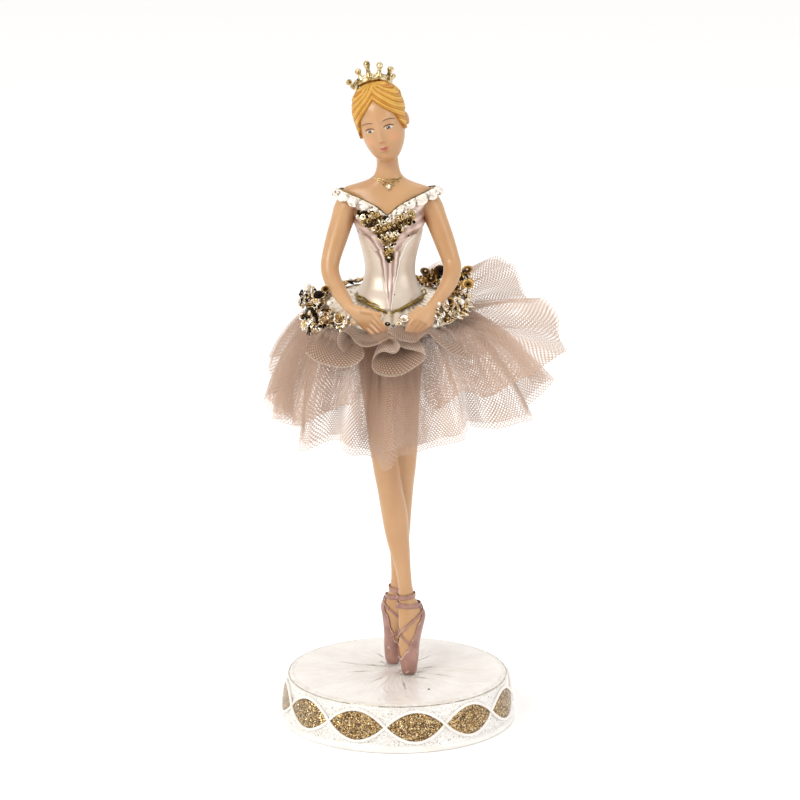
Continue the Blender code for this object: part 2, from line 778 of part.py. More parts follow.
def tulle_column(angle, drop, droop, depth, fold, steps):
    """Points down one radius of a layer of tulle, from the hips out under the basque to the hem."""
    hip = Vector((HIP_HALF_WIDTH * math.sin(angle), HIP_HALF_DEPTH * math.cos(angle)))
    start = hip.length * UNIT + 3 * REST_GAP + TULLE_THICKNESS
    rim = math.hypot(BASQUE_WIDTH_RADIUS * math.sin(angle), BASQUE_DEPTH_RADIUS * math.cos(angle))
    run = rim - start
    first = around(angle, [(at, pair[0]) for at, pair in droop])
    last = around(angle, [(at, pair[1]) for at, pair in droop])
    root_share = start / rim
    z = basque_height(angle, root_share) * UNIT - BASQUE_THICKNESS - depth
    edge = basque_height(angle, 1.0) * UNIT - BASQUE_THICKNESS - depth
    slope = math.atan2(z - edge, run)
    radius = start
    points = [(radius, z, slope)]
    inner = max(2, steps // 3)
    for n in range(1, inner + 1):
        share = n / inner
        points.append((start + run * share, z + (edge - z) * share, slope))
    radius, z = rim, edge
    outer = steps - inner
    for n in range(1, outer + 1):
        share = (n - 0.5) / outer
        ease = min(1.0, share / BEND_SHARE)
        ease = ease * ease * (3 - 2 * ease)
        bend = slope + (math.radians(first) - slope) * ease
        bend += math.radians(last - first) * share * share
        radius += drop / outer * math.cos(bend)
        z -= drop / outer * math.sin(bend)
        points.append((radius, z, bend))
    made = []
    for n, (r, height, bend) in enumerate(points):
        push = fold * drop * max(0.0, (n - inner) / outer) * fold_wave(angle)
        r += push * math.sin(bend)
        height += push * math.cos(bend)
        made.append(Vector((MIDLINE * UNIT + r * math.sin(angle), -r * math.cos(angle), height)))
    return made


def make_tulle(name, drop, droop, level, fold, columns, steps, finish, home, arc=None):
    """One layer of the tutu as a gathered shell. level counts the layers down from the basque,
    and arc holds a part layer's first and last angle."""
    depth = 2 * REST_GAP + level * (TULLE_THICKNESS + TULLE_GAP)
    bm = bmesh.new()
    whole = arc is None
    grid = []
    for k in range(columns if whole else columns + 1):
        angle = 2 * math.pi * k / columns if whole else arc[0] + (arc[1] - arc[0]) * k / columns
        points = tulle_column(angle, drop, droop, depth, fold, steps)
        grid.append([bm.verts.new(p) for p in points])
    pairs = list(zip(grid, grid[1:]))
    if whole:
        pairs.append((grid[-1], grid[0]))
    for a, b in pairs:
        for j in range(steps):
            bm.faces.new((a[j], a[j + 1], b[j + 1], b[j]))
    mesh = bpy.data.meshes.new(name)
    bm.to_mesh(mesh)
    bm.free()
    made = place(name, mesh, finish, home)
    mesh.shade_smooth()
    made.location = (0, 0, PLINTH_HEIGHT + REST_GAP)
    wall = made.modifiers.new("thickness", "SOLIDIFY")
    wall.thickness = TULLE_THICKNESS
    wall.offset = -1.0
    wall.use_even_offset = False
    return made


# Droop of the hip trim, which drapes off the basque's rim over the tulle
TRIM_DROOP = [
    (0, 18), (40, 12), (66, 8), (90, -2), (125, -18), (160, -8), (205, 8), (250, 20), (280, 26),
    (320, 20),
]


def trim_point(angle, out, up):
    """A point beside the basque's rim, out along the trim's drape and up from it, in units."""
    outer = math.radians(around(angle, TRIM_DROOP))
    cone = BASQUE_CONE_DROP / (BASQUE_WIDTH_RADIUS / UNIT - BASQUE_ROOT_RADIUS)
    inner = math.atan(cone + BASQUE_TILT * math.cos(angle))
    blend = min(1.0, max(0.0, 0.5 + out / 4.0))
    droop = inner + (outer - inner) * blend
    rim = Vector((BASQUE_WIDTH_RADIUS * math.sin(angle), -BASQUE_DEPTH_RADIUS * math.cos(angle), 0)) / UNIT
    away = rim.normalized()
    along = away * math.cos(droop) - Vector((0, 0, math.sin(droop)))
    over = away * math.sin(droop) + Vector((0, 0, math.cos(droop)))
    base = rim + Vector((MIDLINE, 0, basque_height(angle, 1.0)))
    return base + along * out + over * up, along, over


def make_hip_trim(finish, home):
    """The draped band of sequins and beads round the basque's rim, open at the front."""
    bm = bmesh.new()
    height = TRIM_HEIGHT / UNIT
    disc = SEQUIN_RADIUS / UNIT
    clear = 1.3 + height / 2
    stations = 44
    span = 2 * (math.pi - TRIM_OPENING)
    rings = []
    for k in range(stations + 1):
        centre, along, over = trim_point(TRIM_OPENING + span * k / stations, 0.3, clear)
        rings.append((centre, along * TRIM_WIDTH / UNIT / 2, over * height / 2))
    loft(bm, rings, 10)
    for row, out in enumerate((-2.6, 2.4)):
        for k in range(SEQUIN_COUNT):
            share = (k + 0.5 * row + 0.25) / SEQUIN_COUNT
            calm = min(1.0, min(share, 1.0 - share) / TRIM_CALM_SHARE)
            tilt = calm * (math.radians(24) * math.sin(2.4 * k + 1.9 * row) + math.radians(10))
            rise = clear + 0.4 + disc * abs(math.sin(tilt))
            centre, along, over = trim_point(TRIM_OPENING + span * share, out, rise)
            side = over.cross(along)
            turn = Matrix((along, side, over)).transposed() @ Matrix.Rotation(tilt, 3, "Y")
            ball(bm, centre, (disc, disc, SEQUIN_THICKNESS / UNIT), turn, detail=12)
    made = fused("hip_trim", bm, UNIT, 0.7 * CAST_VOXEL, TRIM_TRIANGLES, finish, home, relax=1)
    made.location = (0, 0, PLINTH_HEIGHT + REST_GAP)
    return made


# Glued beads down the bodice's front: (side, height, radius)
BODICE_BEADS = [
    (0.0, 210.6, 2.0), (-3.2, 211.6, 1.8), (3.2, 211.8, 1.8), (-6.2, 212.8, 1.7), (6.2, 212.9, 1.7),
    (-8.9, 213.4, 1.9), (0.2, 207.2, 2.1), (-2.8, 208.2, 1.5), (3.0, 208.4, 1.5), (-0.2, 203.8, 1.9),
    (0.2, 200.6, 1.7), (-0.1, 197.8, 1.5), (0.1, 195.4, 1.2),
]


def bodice_front(height):
    """How far forward the bodice's centre front lies at a height."""
    keys = [(193.0, 8.6), (199.0, 9.2), (204.0, 11.0), (209.0, 12.2), (215.0, 12.2)]
    for (a, u), (b, v) in zip(keys, keys[1:]):
        if height <= b:
            return u + (v - u) * max(0.0, height - a) / (b - a)
    return keys[-1][1]


def make_bodice_beads(finish, home):
    bm = bmesh.new()
    for side, height, radius in BODICE_BEADS:
        back = 0.028 * side * side
        centre = Vector((MIDLINE + side, -bodice_front(height) - 1.7 + back, height))
        ball(bm, centre, (radius, 1.15, radius), detail=10)
    made = fused("bodice_beads", bm, UNIT, 0.6 * CAST_VOXEL, BEADS_TRIANGLES, finish, home, relax=1)
    made.location = (0, 0, PLINTH_HEIGHT + REST_GAP)
    return made


def main():
    clear_scene()
    figurine = new_collection("ballerina_figurine")
    skin = material("painted_resin_skin", (0.80, 0.55, 0.36), 0.38)
    pearl = material("pearl_lacquer", (0.86, 0.83, 0.80), 0.30, 0.25)
    gold = material("antique_gold", (0.62, 0.47, 0.22), 0.28, 1.0)
    glitter = material("gold_glitter", (0.55, 0.42, 0.18), 0.45, 0.8)
    tulle = material("taupe_tulle", (0.60, 0.50, 0.44), 0.85)
    sequins = material("champagne_sequins", (0.70, 0.60, 0.42), 0.22, 0.9)
    make_plinth(pearl, figurine)
    for number in range(LENS_COUNT):
        make_glitter_fill(number, glitter, figurine)
    make_dancer(skin, figurine)
    make_crown(gold, figurine)
    make_bodice_beads(sequins, figurine)
    make_hip_trim(sequins, figurine)
    make_tulle("tutu_front_ruffle", RUFFLE_DROP, RUFFLE_DROOP, 0, RUFFLE_FOLD, 24, 4, tulle, figurine,
               arc=(math.radians(-38), math.radians(66)))
    make_tulle("tutu_top_layer", TOP_LAYER_DROP, TOP_DROOP, 1, LAYER_FOLD, 48, 5, tulle, figurine)
    make_tulle("tutu_under_layer", UNDER_LAYER_DROP, UNDER_DROOP, 2, LAYER_FOLD, 48, 5, tulle, figurine)


main()
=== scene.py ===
"""Ballerina figurine: the looks of a cast, hand-painted resin dancer with sequins and tulle."""

import json
import math

import bmesh
import bpy
from mathutils import Matrix, Vector, noise

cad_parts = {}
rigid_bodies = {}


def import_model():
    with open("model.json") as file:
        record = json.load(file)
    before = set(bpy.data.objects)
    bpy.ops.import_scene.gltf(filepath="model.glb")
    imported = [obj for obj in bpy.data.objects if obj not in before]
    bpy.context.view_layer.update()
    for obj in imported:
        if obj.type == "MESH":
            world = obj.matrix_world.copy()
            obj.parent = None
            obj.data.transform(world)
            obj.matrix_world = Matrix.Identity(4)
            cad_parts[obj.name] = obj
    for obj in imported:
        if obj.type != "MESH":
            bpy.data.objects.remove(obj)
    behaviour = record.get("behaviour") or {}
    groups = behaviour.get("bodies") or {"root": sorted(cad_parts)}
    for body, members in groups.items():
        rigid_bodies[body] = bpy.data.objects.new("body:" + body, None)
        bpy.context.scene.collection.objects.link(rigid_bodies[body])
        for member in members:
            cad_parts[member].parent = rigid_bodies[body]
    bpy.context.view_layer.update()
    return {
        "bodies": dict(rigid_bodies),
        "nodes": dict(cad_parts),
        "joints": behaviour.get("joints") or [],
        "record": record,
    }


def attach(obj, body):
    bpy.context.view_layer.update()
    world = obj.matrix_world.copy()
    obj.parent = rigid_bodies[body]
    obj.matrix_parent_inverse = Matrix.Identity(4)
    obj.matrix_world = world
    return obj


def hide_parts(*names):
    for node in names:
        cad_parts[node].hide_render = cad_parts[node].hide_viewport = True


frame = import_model()

MM = 0.001
FIGURE_LIFT = 21.8  # the dancer's toe tips above the floor, in millimetres
HOME = bpy.data.collections.new("ballerina_dressed")
bpy.context.scene.collection.children.link(HOME)


# Nodes and materials


def colour(code):
    """An sRGB hex value as linear red, green, blue and alpha."""
    parts = [int(code[i : i + 2], 16) / 255 for i in (1, 3, 5)]
    linear = [c / 12.92 if c <= 0.04045 else ((c + 0.055) / 1.055) ** 2.4 for c in parts]
    return (*linear, 1.0)


def node(tree, kind, inputs=None, ramp=None, **settings):
    """Adds a shader node with its settings, its input values or links, and its ramp's stops."""
    made = tree.nodes.new("ShaderNode" + kind)
    for name, value in settings.items():
        setattr(made, name, value)
    for key, value in (inputs or {}).items():
        if isinstance(value, bpy.types.NodeSocket):
            tree.links.new(value, made.inputs[key])
        else:
            made.inputs[key].default_value = value
    if ramp:
        stops = made.color_ramp.elements
        while len(stops) < len(ramp):
            stops.new(0.5)
        for stop, (place, shade) in zip(stops, ramp):
            stop.position = place
            stop.color = colour(shade) if isinstance(shade, str) else (shade, shade, shade, 1.0)
    return made


def finish(name, **values):
    """A new material with its shader's own sockets set."""
    made = bpy.data.materials.new(name)
    made.use_nodes = True
    tree = made.node_tree
    shader = tree.nodes["Principled BSDF"]
    for key, value in values.items():
        socket = shader.inputs[key.replace("_", " ")]
        socket.default_value = colour(value) if isinstance(value, str) else value
    return made, tree, shader


# Shapes


def smooth_through(keys, steps):
    """Rows of numbers on a smooth curve through the key rows."""
    rows = []
    last = len(keys) - 1
    for i in range(last):
        a, b, c, d = keys[max(i - 1, 0)], keys[i], keys[i + 1], keys[min(i + 2, last)]
        for n in range(steps):
            t = n / steps
            rows.append([
                0.5 * (2 * q + (r - p) * t + (2 * p - 5 * q + 4 * r - s) * t * t
                       + (3 * q - p - 3 * r + s) * t * t * t)
                for p, q, r, s in zip(a, b, c, d)
            ])
    rows.append(list(keys[last]))
    return rows


def read_row(rows, share):
    """The row at a share of the way through rows, between its neighbours."""
    at = min(max(share, 0.0), 1.0) * (len(rows) - 1)
    low = min(int(at), len(rows) - 2)
    return [p + (q - p) * (at - low) for p, q in zip(rows[low], rows[low + 1])]


def read_key(keys, value):
    """The smooth value at a place in a table of (place, value)."""
    if value <= keys[0][0]:
        return keys[0][1]
    for (a, u), (b, v) in zip(keys, keys[1:]):
        if value <= b:
            return u + (v - u) * (0.5 - 0.5 * math.cos(math.pi * (value - a) / (b - a)))
    return keys[-1][1]


def around(value, keys):
    """A smooth value between keys (angle in degrees, value) on a full turn."""
    at = math.degrees(value) % 360.0
    ring = sorted((k % 360.0, v) for k, v in keys)
    ring = [(ring[-1][0] - 360.0, ring[-1][1])] + ring + [(ring[0][0] + 360.0, ring[0][1])]
    return read_key(ring, at)


def surface(bm, rule, across, along, closed=False, ends=False, cloth=(1.0, 1.0), marks=None):
    """Lays a grid by a rule of two shares from 0 to 1, with its UV map in the same shares.
    marks holds rules for numbers that a finish reads by name."""
    layer = bm.loops.layers.uv.get("UVMap") or bm.loops.layers.uv.new("UVMap")
    stores = {
        name: bm.verts.layers.float.get(name) or bm.verts.layers.float.new(name)
        for name in (marks or {})
    }
    made = bmesh.ops.create_grid(bm, x_segments=across, y_segments=along, size=1.0)["verts"]
    shares = {v: (0.5 + v.co.x / 2, 0.5 + v.co.y / 2) for v in made}
    for face in {f for v in made for f in v.link_faces}:
        for loop in face.loops:
            a, b = shares[loop.vert]
            loop[layer].uv = (a * cloth[0], b * cloth[1])
    for vert, (a, b) in shares.items():
        vert.co = rule(a, b)
        for name, store in stores.items():
            vert[store] = marks[name](a, b)
    if closed:
        bmesh.ops.remove_doubles(bm, verts=made, dist=0.002)
    if ends:
        rim = [e for e in bm.edges if e.is_boundary]
        bmesh.ops.holes_fill(bm, edges=rim, sides=0)
    return made


def tube(bm, keys, steps, sides, up=(0, 1, 0), loop=False):
    """A round cord through points (x, y, z, radius). up sets how it is turned."""
    rows = smooth_through(keys, steps)
    last = len(rows) - 1
    points = [Vector(row[:3]) for row in rows]
    frames = []
    for i in range(last + 1):
        if loop:
            along = points[(i + 1) % last] - points[(i - 1) % last]
        else:
            along = points[min(i + 1, last)] - points[max(i - 1, 0)]
        side = Vector(up).cross(along).normalized()
        frames.append((side, along.cross(side).normalized()))

    def rule(a, b):
        i = round(b * last)
        turn = 2 * math.pi * a
        side, over = frames[i]
        return points[i] + rows[i][3] * (side * math.cos(turn) + over * math.sin(turn))

    surface(bm, rule, sides, last, closed=True, ends=not loop)


def ball(bm, centre, size, turn=None, fine=2):
    """A bead or swelling with half axes size."""
    matrix = Matrix.Translation(centre)
    if turn is not None:
        matrix = matrix @ turn.to_4x4()
    matrix = matrix @ Matrix.Diagonal((*size, 1.0))
    return bmesh.ops.create_icosphere(bm, subdivisions=fine, radius=1.0, matrix=matrix)["verts"]


def cast(bm, voxel, relax=2):
    """Blends overlapping closed forms into one skin, in millimetres, and gives its bmesh."""
    bmesh.ops.recalc_face_normals(bm, faces=bm.faces)
    mesh = bpy.data.meshes.new("rough")
    bm.to_mesh(mesh)
    bm.free()
    rough = bpy.data.objects.new("rough", mesh)
    bpy.context.scene.collection.objects.link(rough)
    blend = rough.modifiers.new("blend", "REMESH")
    blend.mode = "VOXEL"
    blend.voxel_size = voxel
    ease = rough.modifiers.new("ease", "SMOOTH")
    ease.factor = 0.5
    ease.iterations = relax
    bpy.context.view_layer.update()
    graph = bpy.context.evaluated_depsgraph_get()
    skin = bpy.data.meshes.new_from_object(rough.evaluated_get(graph))
    bpy.data.objects.remove(rough, do_unlink=True)
    made = bmesh.new()
    made.from_mesh(skin)
    return made


def piece(name, bm, look, lift=FIGURE_LIFT, tidy=True):
    """Turns a bmesh in millimetres into a finished piece that rides on the figurine."""
    if tidy:
        bmesh.ops.remove_doubles(bm, verts=bm.verts, dist=0.0005)
        bmesh.ops.recalc_face_normals(bm, faces=bm.faces)
    matrix = Matrix.Diagonal((MM, MM, MM, 1.0)) @ Matrix.Translation((0, 0, lift))
    bmesh.ops.transform(bm, matrix=matrix, verts=bm.verts)
    mesh = bpy.data.meshes.new(name)
    bm.to_mesh(mesh)
    bm.free()
    mesh.shade_smooth()
    mesh.materials.append(look)
    made = bpy.data.objects.new(name, mesh)
    HOME.objects.link(made)
    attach(made, "root")
    return made


def grain(point, size, seed=0.0):
    """Smooth noise from -1 to 1 with lumps about size across."""
    return noise.noise(Vector((point[0] / size + seed, point[1] / size, point[2] / size)))


def clamp(value):
    return max(0.0, min(1.0, value))


def bump(value, width):
    """A smooth hill of unit height about zero."""
    return math.exp(-(value / width) ** 2)


# Finishes


def mottled(tree, scale, detail, ramp):
    """Colour that drifts between a ramp's stops, with the coordinates and the noise behind it."""
    place = node(tree, "TexCoord").outputs["Object"]
    cloud = node(tree, "TexNoise", {"Vector": place, "Scale": scale, "Detail": detail}).outputs["Fac"]
    return node(tree, "ValToRGB", {"Fac": cloud}, ramp=ramp).outputs["Color"], place, cloud


def painted_skin():
    """Hand-painted polyresin under a satin varnish: a soft sheen, and painted shade, deeper orange, in the
    hollows.
    """
    made, tree, shader = finish(
        "painted_polyresin_skin", Roughness=0.34, IOR=1.5, Coat_Weight=0.25, Coat_Roughness=0.18,
        Subsurface_Weight=0.3, Subsurface_Scale=0.003, Subsurface_Radius=(1.0, 0.4, 0.15),
    )
    # sprayed paint varies over about 20 mm
    tone, place, _ = mottled(tree, 50.0, 2.0, [(0.3, "#B88C60"), (0.7, "#C2986C")])
    # painted shade, worked out on the mesh: deeper orange where limbs meet and where other parts shade the
    # skin
    shade = node(tree, "Attribute", attribute_name="shade").outputs["Fac"]
    tone = node(tree, "Mix", {0: shade, 6: tone, 7: colour("#91562F")}, data_type="RGBA").outputs[2]
    tree.links.new(tone, shader.inputs["Base Color"])
    return made, tree, shader, place, tone


def face_mask(tree, place, side, height, wide, tall, soft=0.12, turn=0.0):
    """An ellipse painted on the face, in millimetres of the head's own frame."""
    moved = node(
        tree, "Mapping",
        {"Vector": place, "Location": (side, 0.0, height), "Rotation": (0.0, math.radians(turn), 0.0),
         "Scale": (wide, 1e6, tall)},
        vector_type="TEXTURE",
    )
    disc = node(tree, "TexGradient", {"Vector": moved.outputs[0]}, gradient_type="SPHERICAL")
    edge = node(
        tree, "MapRange",
        {"Value": disc.outputs["Fac"], "From Min": 0.0, "From Max": soft, "To Min": 0.0, "To Max": 1.0},
    )
    return edge.outputs["Result"]


def painted_face():
    """The skin with features painted on by brush: brows, lowered eyes, lips and a blush, with painted shade
    in the eye sockets and nostrils and a painted highlight in each eye.
    """
    made, tree, shader, place, tone = painted_skin()
    made.name = "painted_polyresin_face"
    away = (Matrix.Translation((0, 0, FIGURE_LIFT)) @ HEAD).inverted()
    local = node(
        tree, "Mapping",
        {"Vector": place, "Location": away.translation, "Rotation": away.to_euler(),
         "Scale": (1 / MM, 1 / MM, 1 / MM)},
    ).outputs[0]
    depth = node(tree, "SeparateXYZ", {"Vector": local}).outputs["Y"]
    front = node(
        tree, "MapRange",
        {"Value": depth, "From Min": -3.0, "From Max": -5.0, "To Min": 0.0, "To Max": 1.0},
    ).outputs["Result"]

    def paint(tone, mask, shade, strength=1.0):
        held = node(tree, "Math", {0: mask, 1: front}, operation="MULTIPLY").outputs[0]
        held = node(tree, "Math", {0: held, 1: strength}, operation="MULTIPLY").outputs[0]
        return node(
            tree, "Mix", {0: held, 6: tone, 7: colour(shade)}, data_type="RGBA"
        ).outputs[2]

    def cut(outer, inner):
        rest = node(tree, "Math", {0: 1.0, 1: inner}, operation="SUBTRACT").outputs[0]
        return node(tree, "Math", {0: outer, 1: rest}, operation="MULTIPLY").outputs[0]

    for side in (-1, 1):
        tone = paint(tone, face_mask(tree, local, side * 5.4, -6.2, 3.4, 2.9, 0.9), "#D98F68", 0.5)
        # painted shade in the eye socket
        tone = paint(tone, face_mask(tree, local, side * 4.2, 0.3, 3.0, 1.9, 0.8), "#C98F6A", 0.35)
        turn = side * 5
        lash = face_mask(tree, local, side * EYE_SIDE, EYE_HEIGHT - 0.1, 2.3, 0.95, 0.12, turn)
        bare = face_mask(tree, local, side * (EYE_SIDE - 0.1), EYE_HEIGHT - 0.5, 2.25, 0.92, 0.12, turn)
        tone = paint(tone, cut(lash, bare), "#2A1810", 1.0)
        white = face_mask(tree, local, side * EYE_SIDE, EYE_HEIGHT - 0.52, 1.8, 0.62, 0.14, turn)
        tone = paint(tone, white, "#CFC5BC", 0.95)
        iris = face_mask(tree, local, side * EYE_SIDE - 0.15, EYE_HEIGHT - 0.45, 0.98, 0.8, 0.12)
        iris = node(tree, "Math", {0: iris, 1: white}, operation="MULTIPLY").outputs[0]
        tone = paint(tone, iris, "#33404F")
        pupil = face_mask(tree, local, side * EYE_SIDE - 0.15, EYE_HEIGHT - 0.45, 0.55, 0.52, 0.2)
        tone = paint(tone, pupil, "#15161B")
        glint = face_mask(tree, local, side * EYE_SIDE - 0.45, EYE_HEIGHT - 0.25, 0.18, 0.15, 0.3)
        tone = paint(tone, glint, "#FFFFFF")
        rim = face_mask(tree, local, side * EYE_SIDE, EYE_HEIGHT - 1.05, 1.5, 0.16, 0.5, turn)
        tone = paint(tone, rim, "#8A5136", 0.6)
        brow = face_mask(tree, local, side * 4.7, EYE_HEIGHT + 2.15, 2.8, 1.25, 0.1, side * 8)
        under = face_mask(tree, local, side * 4.6, EYE_HEIGHT + 1.7, 3.0, 1.2, 0.1, side * 8)
        tone = paint(tone, cut(brow, under), "#5A3018", 0.95)
        # painted shade in the nostril
        tone = paint(tone, face_mask(tree, local, side * 0.85, -7.35, 0.42, 0.26, 0.6), "#9A5A3C", 0.7)
    tone = paint(tone, face_mask(tree, local, 0.0, -9.95, 2.15, 0.62, 0.25), "#A9524A", 0.85)
    tone = paint(tone, face_mask(tree, local, 0.0, -10.9, 1.6, 0.72, 0.3), "#B8645A", 0.85)
    tone = paint(tone, face_mask(tree, local, 0.0, -10.4, 2.1, 0.15, 0.5), "#7E3A34", 0.85)
    tree.links.new(tone, shader.inputs["Base Color"])
    return made


def painted_hair():
    """Golden blonde paint over cast strands, darker in the grooves, near the hairline and towards the back
    of the head.
    """
    made, tree, shader = finish("painted_polyresin_hair", Roughness=0.42, Specular_IOR_Level=0.3)
    strand = node(tree, "Attribute", attribute_name="groove").outputs["Fac"]
    place = node(tree, "TexCoord").outputs["Object"]
    patch = node(tree, "TexNoise", {"Vector": place, "Scale": 220.0, "Detail": 3.0}).outputs["Fac"]
    mixed = node(tree, "Math", {0: patch, 1: 0.45, 2: strand}, operation="MULTIPLY_ADD").outputs[0]
    tone = node(
        tree, "ValToRGB", {"Fac": mixed},
        ramp=[(0.10, "#864A10"), (0.40, "#A76A20"), (0.68, "#BB8430"), (1.0, "#D5A950")],
    ).outputs["Color"]
    tree.links.new(tone, shader.inputs["Base Color"])
    return made


def pearl_lacquer():
    """White resin sprayed with pearlescent lacquer: mica gives a faint metallic, warm sheen."""
    made, tree, shader = finish(
        "pearl_lacquer", Roughness=0.3, Metallic=0.12, Coat_Weight=0.5, Coat_Roughness=0.12,
    )
    tone, _, _ = mottled(tree, 70.0, 3.0, [(0.35, "#EAE4DD"), (0.65, "#F4F0EB")])
    return made, tree, shader, tone


def bodice_lacquer():
    """Pearl side panels and a rose-mauve draped panel, brushed with metallic lacquer, with painted shade
    and highlights on the panel's folds.
    """
    made, tree, shader, tone = pearl_lacquer()
    made.name = "bodice_metallic_lacquer"
    shader.inputs["Roughness"].default_value = 0.38
    shader.inputs["Coat Roughness"].default_value = 0.3
    tone = node(
        tree, "Mix", {0: 1.0, 6: tone, 7: colour("#E3D8CC")}, data_type="RGBA", blend_type="MULTIPLY",
    ).outputs[2]
    panel = node(tree, "Attribute", attribute_name="panel").outputs["Fac"]
    # painted shade in the folds' hollows and painted highlight on their crests
    fold_light_and_shade = node(tree, "Attribute", attribute_name="groove").outputs["Fac"]
    rose = node(
        tree, "ValToRGB", {"Fac": fold_light_and_shade},
        ramp=[(0.0, "#8F7468"), (0.5, "#C4A99D"), (1.0, "#E6D6CC")],
    ).outputs["Color"]
    tone = node(tree, "Mix", {0: panel, 6: tone, 7: rose}, data_type="RGBA").outputs[2]
    # metal flake in the rose lacquer
    metal = node(tree, "Math", {0: panel, 1: 0.3, 2: 0.3}, operation="MULTIPLY_ADD").outputs[0]
    tree.links.new(metal, shader.inputs["Metallic"])
    tree.links.new(tone, shader.inputs["Base Color"])
    return made


def lace_lacquer(name, high, low, speck):
    """Cast lace relief, darker in its hollows, with small dark specks."""
    made, tree, shader = finish(name, Roughness=0.3, Metallic=0.45, Coat_Weight=0.3, Coat_Roughness=0.15)
    place = node(tree, "TexCoord").outputs["Object"]
    wash = node(tree, "Attribute", attribute_name="groove").outputs["Fac"]
    tone = node(tree, "ValToRGB", {"Fac": wash}, ramp=[(0.1, low), (0.55, high)]).outputs["Color"]
    # specks about 0.5 mm across, one cell in a few
    cells = node(tree, "TexVoronoi", {"Vector": place, "Scale": 620.0})
    chosen = node(tree, "SeparateColor", {"Color": cells.outputs["Color"]}).outputs[0]
    near = node(
        tree, "Math", {0: cells.outputs["Distance"], 1: 0.30}, operation="LESS_THAN"
    ).outputs[0]
    rare = node(tree, "Math", {0: chosen, 1: speck}, operation="LESS_THAN").outputs[0]
    both = node(tree, "Math", {0: near, 1: rare}, operation="MULTIPLY").outputs[0]
    tone = node(tree, "Mix", {0: both, 6: tone, 7: colour("#4B4037")}, data_type="RGBA")
    tree.links.new(tone.outputs[2], shader.inputs["Base Color"])
    lumps = node(tree, "TexNoise", {"Vector": place, "Scale": 900.0, "Detail": 2.0})
    relief = node(
        tree, "Bump", {"Strength": 0.35, "Distance": 0.0003, "Height": lumps.outputs["Fac"]}
    )
    tree.links.new(relief.outputs["Normal"], shader.inputs["Normal"])
    return made


def gilding(name, dark, mid, light, rough=0.26):
    """Antique gilt metal paint: gold on the high spots, brown-black patina in the hollows."""
    made, tree, shader = finish(name, Metallic=1.0, Roughness=rough)
    tone, _, patina = mottled(tree, 420.0, 3.0, [(0.32, dark), (0.48, mid), (0.66, light)])
    tree.links.new(tone, shader.inputs["Base Color"])
    relief = node(tree, "Bump", {"Strength": 0.3, "Distance": 0.0002, "Height": patina})
    tree.links.new(relief.outputs["Normal"], shader.inputs["Normal"])
    return made


def plated(name, shades, rough=0.14):
    """Vacuum-plated plastic sequins, each with its own tone from the ramp."""
    made, tree, shader = finish(name, Metallic=1.0, Roughness=rough)
    own = node(tree, "Attribute", attribute_name="own").outputs["Fac"]
    tone = node(tree, "ValToRGB", {"Fac": own}, ramp=shades)
    tree.links.new(tone.outputs["Color"], shader.inputs["Base Color"])
    return made


def bead_pearl():
    """Pearl-coated glass beads."""
    return finish(
        "pearl_coated_glass", Base_Color="#EDE4D8", Roughness=0.16, Metallic=0.25, Coat_Weight=0.8,
        Coat_Roughness=0.05,
    )[0]


def satin_shoe():
    """Mauve-rose satin paint of the pointe shoes, paler where it is rubbed along the edges."""
    made, tree, shader = finish(
        "mauve_satin_paint", Roughness=0.36, Metallic=0.15, Coat_Weight=0.25, Coat_Roughness=0.2,
    )
    tone, _, _ = mottled(tree, 160.0, 3.0, [(0.3, "#8A6258"), (0.6, "#A67C70"), (0.85, "#BC9588")])
    worn = node(tree, "Attribute", attribute_name="worn").outputs["Fac"]
    tone = node(tree, "Mix", {0: worn, 6: tone, 7: colour("#DCC6B8")}, data_type="RGBA").outputs[2]
    tree.links.new(tone, shader.inputs["Base Color"])
    return made


def flakes(tree, shader, cells_per_metre, tilt, shades):
    """The colour of glitter flakes, each with a tone of its own and tilted its own way."""
    place = node(tree, "TexCoord").outputs["Object"]
    cells = node(tree, "TexVoronoi", {"Vector": place, "Scale": cells_per_metre}).outputs["Color"]
    part = node(tree, "SeparateColor", {"Color": cells}).outputs[0]
    lean = node(tree, "VectorMath", {0: cells, 1: (0.5, 0.5, 0.5)}, operation="SUBTRACT").outputs[0]
    lean = node(tree, "VectorMath", {0: lean, 3: tilt}, operation="SCALE").outputs[0]
    face = node(tree, "NewGeometry").outputs["Normal"]
    lean = node(tree, "VectorMath", {0: face, 1: lean}, operation="ADD").outputs[0]
    lean = node(tree, "VectorMath", {0: lean}, operation="NORMALIZE").outputs[0]
    tree.links.new(lean, shader.inputs["Normal"])
    return node(tree, "ValToRGB", {"Fac": part}, ramp=shades).outputs["Color"]


def glitter(name, shades, flake, tilt):
    """Glitter flakes of about flake millimetres in clear glue."""
    made, tree, shader = finish(name, Roughness=0.2, Metallic=0.9, Coat_Weight=0.4, Coat_Roughness=0.1)
    tone = flakes(tree, shader, 1 / (flake * MM), tilt, shades)
    tree.links.new(tone, shader.inputs["Base Color"])
    return made


NET_PITCH = 1.15  # millimetres from hole to hole of the tulle
NET_THREAD = 0.265  # a real thread is finer; drawn this coarse so that it shows in the render
DOUBLED_THREAD = 0.34  # the front ruffle's two plies lie close and read as a heavier net
ROOT_3 = math.sqrt(3)


